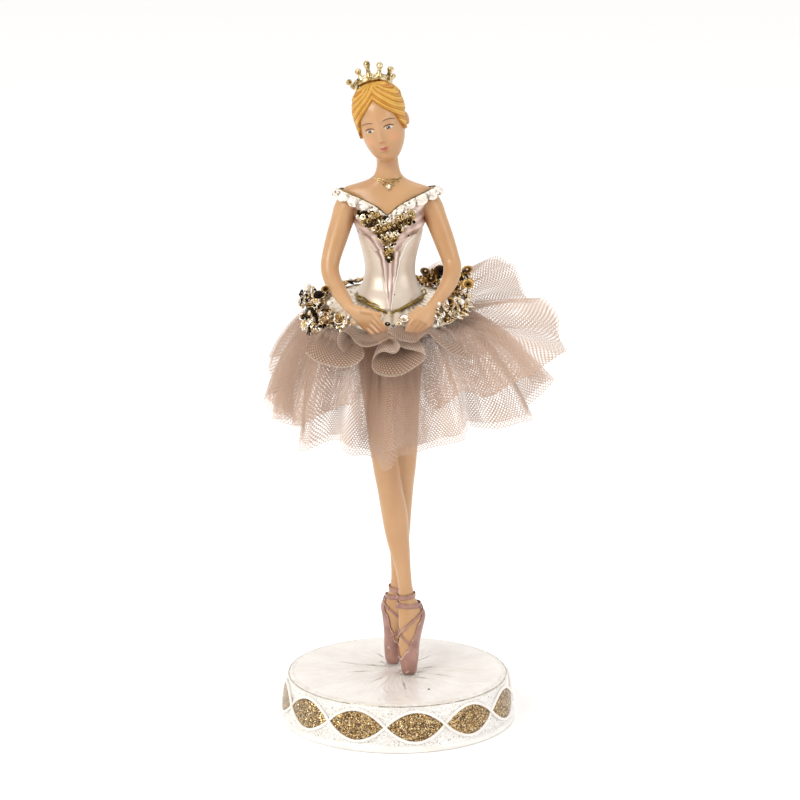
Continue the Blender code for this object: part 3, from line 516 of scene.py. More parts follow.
def tulle(name, light, dark, thread):
    """Nylon tulle: a net of six-sided holes, see-through between its threads."""
    made, tree, shader = finish(name, Roughness=0.75, Sheen_Weight=0.3, Sheen_Roughness=0.5)
    cloth = node(tree, "UVMap", uv_map="UVMap").outputs["UV"]
    grid = node(tree, "VectorMath", {0: cloth, 3: 1 / NET_PITCH}, operation="SCALE").outputs[0]
    step = (1.0, ROOT_3, 1.0)
    half = (0.5, ROOT_3 / 2, 0.5)
    holes = []
    for shift in ((0.0, 0.0, 0.0), half):
        moved = node(tree, "VectorMath", {0: grid, 1: shift}, operation="SUBTRACT").outputs[0]
        moved = node(
            tree, "VectorMath", {0: moved, 1: step, 2: (0.0, 0.0, 0.0)}, operation="WRAP"
        ).outputs[0]
        moved = node(tree, "VectorMath", {0: moved, 1: half}, operation="SUBTRACT").outputs[0]
        moved = node(
            tree, "VectorMath", {0: moved, 1: (1.0, 1.0, 0.0)}, operation="MULTIPLY"
        ).outputs[0]
        moved = node(tree, "VectorMath", {0: moved}, operation="ABSOLUTE").outputs[0]
        slant = node(
            tree, "VectorMath", {0: moved, 1: (0.5, ROOT_3 / 2, 0.0)}, operation="DOT_PRODUCT"
        ).outputs["Value"]
        straight = node(tree, "SeparateXYZ", {"Vector": moved}).outputs["X"]
        holes.append(node(tree, "Math", {0: slant, 1: straight}, operation="MAXIMUM").outputs[0])
    reach = node(tree, "Math", {0: holes[0], 1: holes[1]}, operation="MINIMUM").outputs[0]
    edge = 0.5 - thread / NET_PITCH / 2
    net = node(
        tree, "MapRange",
        {"Value": reach, "From Min": edge - 0.03, "From Max": edge + 0.03, "To Min": 0.0, "To Max": 1.0},
    ).outputs["Result"]
    tree.links.new(net, shader.inputs["Alpha"])
    # the cloth is dyed evenly; the thick mark paints shade on it: darker in the folds' valleys and near the
    # root under the basque, and also darker towards the front
    thick = node(tree, "Attribute", attribute_name="thick").outputs["Fac"]
    tone = node(tree, "Mix", {0: thick, 6: colour(light), 7: colour(dark)}, data_type="RGBA")
    tree.links.new(tone.outputs[2], shader.inputs["Base Color"])
    return made


def plinth_lacquer():
    """The plinth's pearl lacquer, with silver-white glitter on its wall, tarnish on its top and a painted
    reflection on the top's rolled edge.
    """
    made, tree, shader, tone = pearl_lacquer()
    made.name = "plinth_pearl_lacquer"
    # tarnish on the top, and a painted reflection on the rolled edge
    tarnish_and_reflection = node(tree, "Attribute", attribute_name="tarnish_and_reflection").outputs["Fac"]
    tone = node(tree, "Mix", {0: tarnish_and_reflection, 6: tone, 7: colour("#8F7C68")}, data_type="RGBA").outputs[2]
    sparkle = node(tree, "Attribute", attribute_name="sparkle").outputs["Fac"]
    tilt = node(tree, "Math", {0: sparkle, 1: 0.36}, operation="MULTIPLY").outputs[0]
    # flakes of about 0.4 mm, most of them white, a few dark
    flake = flakes(tree, shader, 2300.0, tilt, [
        (0.0, "#6E6357"), (0.014, "#9C9388"), (0.05, "#D2CDC6"), (0.5, "#E4E1DC"), (1.0, "#F6F4F1"),
    ])
    tone = node(tree, "Mix", {0: sparkle, 6: tone, 7: flake}, data_type="RGBA")
    tree.links.new(tone.outputs[2], shader.inputs["Base Color"])
    return made


def clear_resin():
    """Clear glue left round the toes."""
    return finish(
        "clear_glue", Base_Color="#F6F0E8", Roughness=0.06, IOR=1.48, Transmission_Weight=0.6,
        Coat_Weight=0.5, Coat_Roughness=0.03,
    )[0]


# The dancer's pose, in millimetres above the toe tips, measured about the plinth's axis
MIDLINE = -3.5
TORSO = [
    (143.0, -3.5, 0.5, 8.0, 6.5), (150.0, -3.5, 0.5, 12.2, 9.4), (160.0, -3.5, 0.5, 13.0, 10.2),
    (169.0, -3.5, 0.2, 12.8, 9.9), (172.0, -3.5, -0.8, 13.9, 11.4), (175.6, -3.5, -1.0, 14.4, 11.6),
    (179.5, -3.4, -0.5, 12.2, 9.6), (185.0, -3.4, 0.0, 10.7, 8.1), (192.0, -3.4, 0.0, 11.2, 8.4),
    (201.0, -3.4, -0.2, 13.5, 9.6), (208.5, -3.6, -0.4, 15.0, 10.2), (214.5, -3.8, -0.2, 16.2, 9.6),
    (219.0, -4.2, 0.0, 18.0, 8.0), (221.6, -4.6, 0.2, 19.4, 6.8), (223.4, -4.7, 0.3, 18.0, 6.0),
    (224.9, -4.5, 0.4, 13.2, 5.6), (226.8, -4.2, 0.3, 8.4, 5.2), (229.2, -4.2, 0.2, 5.9, 5.0),
    (233.0, -4.3, -0.2, 4.9, 4.9), (238.0, -4.7, -0.9, 4.8, 4.9), (243.0, -5.2, -1.6, 4.8, 5.2),
]
BUST = [((-10.2, -5.0, 208.8), (7.8, 6.1, 7.0)), ((3.0, -5.0, 208.8), (7.8, 6.1, 7.0)),
        ((-3.6, -4.6, 208.6), (11.0, 6.2, 6.0))]
FRONT_LEG = [
    (-9.8, 0.5, 160.0, 8.8), (-9.2, -0.5, 145.0, 8.6), (-8.2, -1.5, 130.0, 7.6),
    (-6.6, -2.4, 110.0, 6.5), (-5.0, -3.0, 96.0, 6.0), (-3.2, -3.2, 85.0, 5.7),
    (-1.5, -2.6, 75.0, 5.9), (0.2, -2.6, 62.5, 5.2), (2.4, -3.2, 49.5, 3.6), (3.5, -3.8, 40.0, 3.2),
]
BACK_LEG = [
    (2.9, 0.5, 160.0, 8.8), (2.8, 1.2, 145.0, 8.4), (2.8, 2.2, 130.0, 7.4), (3.0, 4.0, 110.0, 6.4),
    (2.6, 5.2, 96.0, 5.9), (1.8, 6.6, 85.0, 5.5), (0.8, 7.6, 75.0, 5.7), (0.6, 8.0, 62.5, 5.0),
    (0.4, 8.0, 49.5, 3.6), (0.2, 8.0, 40.0, 3.2),
]
RIGHT_ARM = [
    (-19.6, 0.6, 218.6, 5.4), (-22.6, 0.2, 213.5, 5.6), (-24.6, -0.6, 208.0, 5.1),
    (-27.0, -2.2, 200.5, 4.8), (-29.2, -4.4, 193.0, 4.3), (-29.9, -6.8, 188.0, 4.1),
    (-28.6, -10.4, 183.4, 3.9), (-25.4, -16.2, 178.8, 3.4), (-22.4, -21.2, 175.2, 2.8),
    (-20.2, -24.8, 172.8, 2.3),
]
LEFT_ARM = [
    (11.8, 0.6, 218.8, 5.4), (14.8, 0.2, 214.0, 5.5), (17.3, -0.8, 208.5, 4.9),
    (20.6, -2.8, 200.0, 4.6), (23.4, -4.8, 192.0, 4.1), (24.3, -7.0, 188.0, 4.0),
    (23.0, -11.4, 183.0, 3.7), (19.6, -18.0, 178.4, 3.2), (16.6, -22.4, 175.6, 2.6),
    (14.8, -24.6, 174.0, 2.3),
]
FRONT_FOOT = [
    (0.0, 5.2, -7.4, 2.5, 2.3), (2.0, 5.3, -7.4, 3.3, 2.9), (8.0, 5.1, -7.2, 4.2, 3.9),
    (15.0, 5.2, -6.4, 4.9, 4.1), (22.0, 6.0, -5.4, 6.2, 4.0), (27.0, 6.4, -4.8, 7.0, 3.8),
    (31.0, 5.6, -4.6, 5.8, 3.6), (35.0, 4.2, -4.2, 4.2, 3.3), (41.0, 3.6, -3.8, 3.2, 3.1),
]
BACK_FOOT = [
    (0.0, -2.2, 8.4, 2.5, 2.3), (2.0, -2.2, 8.4, 3.3, 2.9), (8.0, -1.8, 8.3, 4.2, 3.9),
    (15.0, -1.4, 8.2, 4.8, 4.1), (22.0, -1.2, 8.1, 6.2, 4.0), (27.0, -1.4, 8.2, 7.0, 3.8),
    (31.0, -0.8, 8.2, 5.8, 3.6), (35.0, 0.0, 8.0, 4.2, 3.3), (41.0, 0.2, 8.0, 3.2, 3.1),
]
TURN_OUT = math.radians(38.0)

# The head in its own frame: rings up the skull (height, forward shift, half width, half depth)
HEAD = (
    Matrix.Translation((-7.3, -3.4, 253.8))
    @ Matrix.Rotation(math.radians(-7.0), 4, "Z")
    @ Matrix.Rotation(math.radians(-14.0), 4, "Y")
    @ Matrix.Rotation(math.radians(9.0), 4, "X")
)
HEAD_AWAY = HEAD.inverted()
SKULL = [
    (-17.2, 7.2, 2.6, 2.2), (-16.0, 6.4, 4.6, 3.9), (-13.0, 4.8, 7.0, 6.8), (-9.0, 3.0, 8.8, 9.7),
    (-4.0, 1.2, 9.8, 11.4), (1.0, 0.4, 10.3, 12.3), (5.0, -0.2, 10.5, 12.6), (9.0, -0.8, 9.6, 11.5),
    (11.8, -1.3, 7.8, 9.1), (13.7, -1.7, 5.2, 6.0), (14.7, -1.9, 2.2, 2.6),
]
EYE_SIDE = 4.2
EYE_HEIGHT = -1.1
# Face relief: (side, height, spread side, spread height, push forward). What lies beside the
# midline is on both sides.
FACE_HALF = [
    (0.0, 0.2, 1.0, 3.0, 0.9), (0.0, -4.2, 1.0, 2.2, 1.6), (0.0, -6.1, 1.15, 0.95, 1.4),
    (1.35, -6.6, 0.65, 0.6, 0.55), (4.2, 0.5, 2.5, 1.5, -1.1), (EYE_SIDE, EYE_HEIGHT, 1.9, 1.1, 0.6),
    (4.5, 2.6, 2.6, 0.9, 0.3), (6.2, -5.0, 2.6, 2.4, 0.35), (0.0, -9.8, 1.9, 0.55, 0.75),
    (0.0, -11.0, 1.5, 0.6, 0.75), (0.0, -10.4, 2.0, 0.26, -0.4), (0.0, -12.3, 1.7, 0.7, -0.35),
    (0.0, -14.6, 2.2, 1.7, 0.8),
]
FACE_FORMS = [(sign * row[0], *row[1:]) for row in FACE_HALF for sign in ((1, -1) if row[0] else (1,))]
CROWN = (
    HEAD @ Matrix.Translation((-1.0, 0.8, 4.2)) @ Matrix.Rotation(math.radians(-40.0), 4, "X")
    @ Matrix.Translation((0, 0, 11.0))
)


# The dancer


def ring_stack(bm, rows, sides, steps, frame=None, along=None):
    """A closed skin through level ellipses (height, centre x, centre y, half x, half y)."""
    rows = smooth_through(rows, steps)
    last = len(rows) - 1

    def rule(a, b):
        z, x, y, w, d = rows[round(b * last)]
        turn = 2 * math.pi * a
        u = along or Vector((1, 0, 0))
        v = Vector((-u.y, u.x, 0))
        point = Vector((x, y, z)) + u * w * math.cos(turn) + v * d * math.sin(turn)
        return frame @ point if frame else point

    surface(bm, rule, sides, last, closed=True, ends=True)


def add_skull(bm):
    rows = [(height, 0.0, -forward, width, depth) for height, forward, width, depth in SKULL]
    ring_stack(bm, rows, 48, 5, frame=HEAD)


def add_hand(bm, wrist, knuckles, tips, spread, thumb):
    """A palm from the wrist to the knuckles, four fingers and a thumb."""
    along = (knuckles - wrist).normalized()
    across = spread.normalized()
    flat = along.cross(across).normalized()
    palm = [(0.0, 2.0, 1.9), (0.35, 3.6, 2.1), (0.75, 4.6, 2.0), (1.05, 4.2, 1.6)]
    last = len(palm) - 1

    def rule(a, b):
        share, wide, thick = palm[round(b * last)]
        turn = 2 * math.pi * a
        return (wrist.lerp(knuckles, share) + across * wide * math.cos(turn)
                + flat * thick * math.sin(turn))

    surface(bm, rule, 20, last, closed=True, ends=True)
    for k, tip in enumerate(tips):
        root = knuckles + across * 4.6 * (0.78 - 0.52 * k)
        start = root - along * 3.0
        middle = root.lerp(tip, 0.5) + flat * 0.6
        keys = [(*start, 1.2), (*root, 1.35), (*middle, 1.15), (*tip, 0.75)]
        tube(bm, keys, 4, 12)
    base, end = thumb
    middle = base.lerp(end, 0.5) + flat * 0.3
    tube(bm, [(*base, 1.6), (*middle, 1.25), (*end, 0.85)], 4, 12)


def add_hands(bm):
    add_hand(
        bm, Vector((-20.6, -24.4, 173.2)), Vector((-11.8, -30.0, 168.6)),
        [Vector((-2.8, -34.2, 163.4)), Vector((-2.0, -35.2, 161.4)), Vector((-2.9, -35.6, 159.9)),
         Vector((-5.0, -35.2, 158.9))],
        Vector((0.42, -0.1, 1.0)), (Vector((-15.8, -28.4, 173.2)), Vector((-6.8, -31.6, 171.8))),
    )
    add_hand(
        bm, Vector((15.2, -24.2, 174.4)), Vector((10.4, -30.0, 168.4)),
        [Vector((3.6, -34.2, 164.6)), Vector((4.4, -35.0, 162.6)), Vector((6.2, -35.2, 161.6)),
         Vector((8.4, -34.8, 161.8))],
        Vector((-1.0, -0.2, 0.62)), (Vector((10.0, -27.0, 174.0)), Vector((4.6, -30.6, 170.0))),
    )


def model_face(point):
    """Pushes a point of the head's front by the face's relief."""
    side, depth, height = HEAD_AWAY @ point
    if depth > -3.0 or height < -18.0 or height > 9.0 or abs(side) > 11.0:
        return point
    push = 0.0
    for x, z, wide, tall, amount in FACE_FORMS:
        push += amount * bump(side - x, wide) * bump(height - z, tall)
    front = clamp((-depth - 3.0) / 4.0)
    return HEAD @ Vector((side, depth - push * front, height))


def store(made, name, values):
    """Stores a number for each point of a piece, for its finish to read."""
    made.data.attributes.new(name, "FLOAT", "POINT").data.foreach_set("value", values)


def shade_where(made, rule):
    """Stores how much painted shade each point gets, by a rule in the dancer's millimetres."""
    lift = Vector((0, 0, FIGURE_LIFT))
    store(made, "shade", [rule(v.co / MM - lift) for v in made.data.vertices])


def make_upper_body():
    """Head, neck, shoulders, arms and hands, in bare painted resin."""
    bm = bmesh.new()
    rows = []
    for z, x, y, w, d in TORSO:
        if z < 204.0:
            continue
        slim = 0.92 if z < 212.0 else 1.0
        rows.append((z, x, y, w * slim, d * slim))
    ring_stack(bm, rows, 48, 5)
    for centre, size in BUST:
        ball(bm, Vector(centre), size, fine=4)
    tube(bm, RIGHT_ARM, 5, 24)
    tube(bm, LEFT_ARM, 5, 24)
    add_hands(bm)
    add_skull(bm)
    for side, reach in ((-1, 10.0), (1, 10.9)):
        ball(bm, HEAD @ Vector((side * reach, 0.8, -2.4)), (1.2, 1.8, 3.1), HEAD.to_3x3(), fine=3)
    skin = cast(bm, 0.40, 3)
    for vert in skin.verts:
        vert.co = model_face(vert.co)
    made = piece("head_arms_and_hands", skin, painted_face(), tidy=False)

    # painted shade: deeper orange under the arms, under the chin and on the fingertips
    def painted_shade_amount(p):
        armpit = bump(abs(p.x - MIDLINE) - 15.5, 2.6) * bump(p.z - 209, 7.0)
        neck = bump(p.z - 236, 5.0) * clamp(-p.y / 4.0) * 0.6
        fingers = clamp((171.0 - p.z) / 8.0) * clamp((-28.0 - p.y) / 5.0) * 0.9
        return clamp(0.75 * armpit + 0.35 * neck + 0.5 * fingers)

    shade_where(made, painted_shade_amount)
    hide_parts("dancer")


def make_legs():
    """Hips, legs and bare insteps, in painted resin."""
    bm = bmesh.new()
    ring_stack(bm, [row for row in TORSO if row[0] <= 176.0], 48, 4)
    tube(bm, FRONT_LEG, 5, 32)
    tube(bm, BACK_LEG, 5, 32)
    for rows, turn in ((FRONT_FOOT, TURN_OUT), (BACK_FOOT, math.pi - TURN_OUT)):
        along = Vector((math.cos(turn), math.sin(turn), 0))
        ring_stack(bm, [row for row in rows if row[0] > 1.0], 32, 4, along=along)
    skin = cast(bm, 0.62, 4)
    look, _, shader, _, _ = painted_skin()
    shader.inputs["Roughness"].default_value = 0.36
    made = piece("hips_and_legs", skin, look, tidy=False)

    # painted shade: between the legs, and on the legs under the skirt
    def painted_shade_amount(p):
        between = bump(p.x + 1.5, 3.0) * clamp((p.z - 60) / 50.0)
        under = clamp((p.z - 103) / 30.0)
        return clamp(0.4 * between + 0.75 * under)

    shade_where(made, painted_shade_amount)


def hairline(side):
    """Height of the parted hair's edge over the face."""
    s = math.sqrt(side * side + 0.09)
    return 10.6 - 0.95 * s - 0.012 * s * s - 1.2 * max(0.0, s - 7.0) ** 2


def strand(side, depth, height):
    """Numbers the strand that a point of the hair lies on: strands lie along the hairline."""
    turn = math.atan2(abs(side), -depth)
    if turn < math.pi / 2:
        fall = 10.5 * math.sin(turn)
        return height + 0.95 * fall + 0.012 * fall * fall
    rise = (turn - math.pi / 2) / (math.pi / 2)
    return height + 11.3 - 8.0 * rise * rise


def make_hair():
    """Parted, swept-back hair with cast strands, and the coil inside the crown."""
    bm = bmesh.new()
    add_skull(bm)
    ball(bm, CROWN @ Vector((0, 0, 0.2)), (5.6, 5.6, 3.6), CROWN.to_3x3(), fine=4)
    hair = cast(bm, 0.33, 3)
    crown_away = CROWN.inverted()
    values = []
    for vert in hair.verts:
        side, depth, height = HEAD_AWAY @ vert.co
        edge = hairline(side) if depth < 0 else -9.5 + 2.0 * clamp(depth / 8.0)
        if 0 <= depth < 1.5:
            edge = max(edge, hairline(side))
        if side > 6.0 and -1.6 < depth < 4.0:
            edge = max(edge, 0.8)
        over = clamp((height - edge) / 0.9)
        crown = crown_away @ vert.co
        coil = math.hypot(crown.x, crown.y) < 6.0 and crown.z > -1.5
        if coil:
            count = math.atan2(crown.x, crown.y) * 2.4 + crown.z * 0.8
        else:
            count = strand(side, depth, height) / 1.3
        wander = 0.42 * grain(vert.co, 9.0)
        groove = math.sin(2 * math.pi * (count + wander))
        fine = math.sin(2 * math.pi * (count * 2.7 + 1.2 * wander))
        lift = 1.15 + 0.13 * groove + 0.05 * fine - 0.25 * bump(side, 0.45) * (depth < 0)
        near_crown = clamp((math.hypot(crown.x, crown.y) - 10.5) / 2.5) if crown.z > -6 else 1.0
        lift += 0.45 * (1 - near_crown) * (not coil)
        out = Vector((side, depth, 0.35 * height)).normalized()
        move = -1.0 + (lift + 1.0) * over
        if coil:
            move = 0.2 * groove
            out = Vector((0, 0, 1))
        vert.co = HEAD @ (Vector((side, depth, height)) + out * move)
        streak = 0.22 * math.sin(2 * math.pi * (count * 0.37 + 0.8 * wander))
        # darker within 3.5 mm of the hairline and towards the back of the head
        rim = 0.30 * (1 - clamp((height - edge) / 3.5)) + 0.15 * clamp((depth + 2.0) / 6.0)
        values.append(clamp(0.56 + 0.19 * groove + 0.09 * fine + streak - rim) * over)
    made = piece("swept_hair", hair, painted_hair(), tidy=False)
    store(made, "groove", values)


# The bodice and what is cast with it

# Half width of the draped centre panel by height
PANEL = [(169.0, 0.3), (172.0, 0.6), (176.5, 1.2), (181.0, 2.0), (186.0, 3.0), (191.5, 3.9),
         (195.5, 5.3), (199.0, 6.8), (202.0, 9.2), (204.2, 13.2), (206.5, 15.5), (212.0, 18.0)]
# Top edge of the neckline's frill, centre front round one shoulder to the centre back:
# (side, depth, height, flare in degrees from straight down)
FRILL = [
    (0.0, -9.6, 212.0, 12.0), (2.4, -9.6, 213.8, 12.0), (5.1, -9.2, 216.0, 14.0),
    (10.1, -7.8, 218.6, 18.0), (15.5, -6.0, 220.8, 30.0), (19.6, -3.6, 222.4, 46.0),
    (21.0, 0.2, 222.8, 56.0), (19.4, 3.8, 222.2, 46.0), (14.5, 5.6, 221.2, 26.0),
    (8.0, 7.0, 220.2, 16.0), (0.0, 7.6, 219.6, 12.0),
]
FRILL_ROWS = smooth_through(FRILL, 10)
WIDEST = 60  # the row of FRILL_ROWS at the point of the shoulder
TORSO_ROWS = smooth_through(TORSO, 6)
BASQUE_WIDTH = 32.5
BASQUE_DEPTH = 28.0
BASQUE_THICKNESS = 1.8
BASQUE_TOP = 175.0  # height of its flat middle
BASQUE_FLAT = 0.4  # share of the rim's radius that is flat
BASQUE_DROP = 5.0  # from the flat middle down to the rim
BASQUE_TILT = 0.20  # fall towards the front, as a share of the depth


def torso_row(height):
    for low, high in zip(TORSO_ROWS, TORSO_ROWS[1:]):
        if height <= high[0]:
            share = clamp((height - low[0]) / max(high[0] - low[0], 1e-6))
            return [p + (q - p) * share for p, q in zip(low, high)]
    return TORSO_ROWS[-1]


def reach_ellipse(angle, x, y, w, d):
    """Distance from the bodice's axis to an ellipse's far side, in a direction from the front."""
    dx, dy = math.sin(angle), -math.cos(angle)
    cx, cy = x - MIDLINE, y
    a = dx * dx / (w * w) + dy * dy / (d * d)
    b = dx * cx / (w * w) + dy * cy / (d * d)
    c = cx * cx / (w * w) + cy * cy / (d * d) - 1
    inside = b * b - a * c
    return (b + math.sqrt(inside)) / a if inside > 0 else 0.0


def bodice_reach(angle, height):
    """How far the bodice's skin is from its axis."""
    z, x, y, w, d = torso_row(height)
    found = [reach_ellipse(angle, x, y, w, d)]
    for (cx, cy, cz), (sx, sy, sz) in BUST:
        level = 1 - ((height - cz) / sz) ** 2
        if level > 0.01:
            found.append(reach_ellipse(angle, cx, cy, sx * math.sqrt(level), sy * math.sqrt(level)))
    together = sum(max(f, 0.1) ** 26 for f in found) ** (1 / 26)
    swing = math.atan2(math.sin(angle), math.cos(angle))
    together += 6.4 * clamp((178.5 - height) / 8.6) ** 2 * bump(swing, 0.85)
    return together


def bodice_point(angle, height, out):
    reach = bodice_reach(angle, height) + out
    return Vector((MIDLINE + reach * math.sin(angle), -reach * math.cos(angle), height))


def on_bodice(side, height, out=0.0):
    """A point on the bodice's front, by its distance beside the midline."""
    angle = 0.0
    for _ in range(10):
        angle = math.asin(max(-0.98, min(0.98, side / bodice_reach(angle, height))))
    return bodice_point(angle, height, out)


def bodice_low(angle):
    """Height of the bodice's pointed lower edge."""
    swing = abs(math.atan2(math.sin(angle), math.cos(angle)))
    return 169.5 + 5.8 * math.sin(min(swing, math.pi / 2)) ** 0.9


def neckline(side, front):
    """Height of the frill's top edge beside the midline, at the front or the back."""
    half = FRILL_ROWS[: WIDEST + 1] if front else FRILL_ROWS[WIDEST:][::-1]
    side = abs(side)
    for a, b in zip(half, half[1:]):
        if side <= b[0]:
            share = clamp((side - a[0]) / max(b[0] - a[0], 1e-6))
            return a[2] + (b[2] - a[2]) * share
    return half[-1][2]


def bodice_shares(a, b):
    angle = 2 * math.pi * a
    low = bodice_low(angle)
    side = 15.5 * math.sin(angle)
    high = neckline(side, math.cos(angle) > 0) - 2.4
    return angle, low + (high - low) * clamp((b - 0.02) / 0.96)


def drape(side, height, angle):
    """The folds of the draped panel, and how much of a place is panel."""
    half = read_key(PANEL, height)
    side += 1.6 * bump(height - 201.0, 6.0)
    front = clamp(math.cos(angle) * 6.0 + 0.6)
    inside = clamp((half - abs(side)) / 0.5 + 0.5) * front
    flow = side / (half + 1.6)
    twist = 0.35 * math.sin(height / 3.1 + side * 0.3)
    fold = math.sin(2 * math.pi * (2.2 * flow + twist * (height > 196)) + 0.8)
    cross = math.sin((height - 0.55 * abs(side)) * 1.55 + 0.7 * grain((side, 0, height), 5.0))
    share = clamp((height - 196.0) / 6.0)
    return inside, fold * (1 - 0.55 * share) + cross * 0.55 * share


def make_bodice():
    bm = bmesh.new()

    def look_at(a, b):
        angle, height = bodice_shares(a, b)
        side = bodice_reach(angle, height) * math.sin(angle)
        return angle, height, side

    def rule(a, b):
        angle, height, side = look_at(a, b)
        inside, fold = drape(side, height, angle)
        half = read_key(PANEL, height)
        width = clamp((half - 0.4) / 3.0)
        out = 0.55 + inside * (0.18 + 0.30 * fold * width)
        out -= 0.22 * bump(abs(side) - half, 0.45) * (math.cos(angle) > 0)
        if b < 0.02 or b > 0.98:
            out = -1.2
        return bodice_point(angle, height, out)

    def draped(a, b):
        angle, height, side = look_at(a, b)
        return drape(side, height, angle)

    # groove carries painted shade and highlight from the same folds that shape the panel
    marks = {
        "panel": lambda a, b: draped(a, b)[0],
        "groove": lambda a, b: clamp(0.5 + 0.42 * draped(a, b)[1]),
    }
    surface(bm, rule, 200, 110, closed=True, marks=marks)
    piece("draped_bodice", bm, bodice_lacquer())


def frill_row(share):
    """The frill's edge, way down, way out and lobe at a share of its way round."""
    half = 1.0 - abs(2 * share - 1.0)
    sign = 1 if share < 0.5 else -1
    x, y, z, flare = read_row(FRILL_ROWS, half)
    out = Vector((sign * x / 2.2, y, 0)).normalized()
    tilt = math.radians(flare)
    down = out * math.sin(tilt) + Vector((0, 0, -math.cos(tilt)))
    over = down.cross(Vector((-out.y, out.x, 0))).normalized()
    if over.dot(out) < 0 or (abs(over.dot(out)) < 0.2 and over.z < 0):
        over = -over
    lobe = abs(math.sin(math.pi * 12 * half + 0.25 * math.sin(9 * half)))
    edge = Vector((-4.4 + sign * x, y, z + 0.025 * sign * x))
    return edge, down, over, lobe


def make_frill():
    """The cast frill: a band of shell-shaped lace lobes."""
    bm = bmesh.new()

    def rule(a, b):
        edge, down, over, lobe = frill_row(a)
        reach = 4.2 * (0.74 + 0.42 * lobe ** 0.7)
        thick = 0.95 * (0.7 + 0.55 * lobe)
        turn = 2 * math.pi * b
        centre = edge + down * reach / 2
        point = centre - down * reach / 2 * math.cos(turn) + over * thick * math.sin(turn)
        shell = 0.22 * math.sin(6.5 * turn) * (math.sin(turn) > 0)
        lump = 0.34 * grain(point, 1.3) + 0.16 * grain(point, 0.7, 3.0)
        return point + over * (shell + lump) * (0.4 + 0.6 * math.sin(turn) ** 2)

    # darker where the lace lies low, lighter on its lumps and its bigger lobes
    def wash(a, b):
        _, _, _, lobe = frill_row(a)
        point = rule(a, b)
        return clamp(0.25 + 0.5 * lobe + 0.75 * grain(point, 1.3) + 0.3 * grain(point, 0.7, 3.0))

    surface(bm, rule, 520, 26, closed=True, marks={"groove": wash})
    look = lace_lacquer("silvered_lace_relief", "#EFE5DA", "#8E8070", 0.16)
    piece("lace_frill", bm, look)


def basque_height(angle, share):
    """Height of the basque's top at an angle from the front and a share of its rim radius."""
    drop = BASQUE_DROP * max(0.0, (share - BASQUE_FLAT) / (1 - BASQUE_FLAT))
    return BASQUE_TOP - drop - BASQUE_TILT * share * BASQUE_DEPTH * math.cos(angle)


def make_basque():
    """The cast plate below the waist, modelled as a gathered champagne ruffle."""
    bm = bmesh.new()

    def spot(a, b):
        angle = 2 * math.pi * a
        under = b > 0.6
        share = 0.3 + 0.7 * min(b / 0.55, 1.0) if not under else 1.0 - 0.7 * (b - 0.6) / 0.4
        return angle, share, under

    def folds(angle, share):
        wander = 1.4 * grain((20 * math.sin(angle), 20 * math.cos(angle), share * 9), 9.0)
        return math.sin(34 * angle + 3 * wander + 2.5 * share)

    def rule(a, b):
        angle, share, under = spot(a, b)
        x = MIDLINE + BASQUE_WIDTH * share * math.sin(angle)
        y = -BASQUE_DEPTH * share * math.cos(angle)
        z = basque_height(angle, share)
        if 0.55 <= b <= 0.6:
            return Vector((x, y, z - BASQUE_THICKNESS * (b - 0.55) / 0.05))
        if under:
            return Vector((x, y, z - BASQUE_THICKNESS))
        wash = clamp((share - 0.42) / 0.2)
        z += wash * (0.34 * folds(angle, share) + 0.3 * grain((x, y, z), 2.2))
        return Vector((x, y, z))

    # darker in the folds' troughs, lighter on their crests
    def wash(a, b):
        angle, share, _ = spot(a, b)
        x, y = BASQUE_WIDTH * share * math.sin(angle), BASQUE_DEPTH * share * math.cos(angle)
        return clamp(0.62 + 0.28 * folds(angle, share) + 0.5 * grain((x, y, 0), 2.2))

    surface(bm, rule, 240, 60, closed=True, ends=True, marks={"groove": wash})
    look = lace_lacquer("champagne_lace_relief", "#E5D8C6", "#9A8468", 0.10)
    piece("waist_basque", bm, look)


def make_waist_cord():
    """The olive-gold cord on the bodice's pointed edge, a short second one and a loose loop."""
    bm = bmesh.new()
    keys = []
    for k in range(-17, 18):
        angle = k * 0.088
        point = bodice_point(angle, bodice_low(angle), 0.75)
        point += Vector((0, 0, -0.1 + 0.12 * math.sin(k * 1.7)))
        keys.append((*point, 0.52 + 0.06 * math.sin(k * 2.3)))
    tube(bm, keys, 4, 12, up=(0, 0, 1))
    upper = []
    for k in range(-16, -2):
        angle = k * 0.09
        point = bodice_point(angle, bodice_low(angle) + 0.95 + 0.2 * math.sin(k * 1.1), 0.6)
        upper.append((*point, 0.33))
    tube(bm, upper, 4, 10, up=(0, 0, 1))
    end = bodice_point(1.42, bodice_low(1.42), 0.8)
    ring = []
    for k in range(13):
        turn = 2 * math.pi * k / 12
        ring.append((*(end + Vector((0.9 * math.cos(turn), -0.3, 1.2 + 1.3 * math.sin(turn)))), 0.34))
    tube(bm, ring, 3, 10, up=(0, 1, 0), loop=True)
    look = gilding("olive_gilt_cord", "#4A3B18", "#8A7434", "#BBA35C", 0.3)
    piece("waist_cord", bm, look)


def make_neckline_line():
    """The dark-gold line on the frill's top edge."""
    bm = bmesh.new()
    edge = []
    for k in range(121):
        point, down, over, _ = frill_row(k / 120)
        edge.append((*(point - down * 0.15 + over * 0.25), 0.30))
    tube(bm, edge, 2, 8, up=(0, 0.02, 1), loop=True)
    look = gilding("dark_gilt_line", "#3B3122", "#75613A", "#A48F5E", 0.35)
    piece("neckline_gold_line", bm, look)


def make_panel_piping():
    """The pearl piping down the left edge of the draped panel."""
    bm = bmesh.new()
    seam = [(*on_bodice(read_key(PANEL, z) + 0.25, z, 0.62), 0.24) for z in range(171, 204, 2)]
    tube(bm, seam, 4, 8, up=(1, 0, 0))
    look, tree, shader, tone = pearl_lacquer()
    tree.links.new(tone, shader.inputs["Base Color"])
    piece("panel_piping", bm, look)


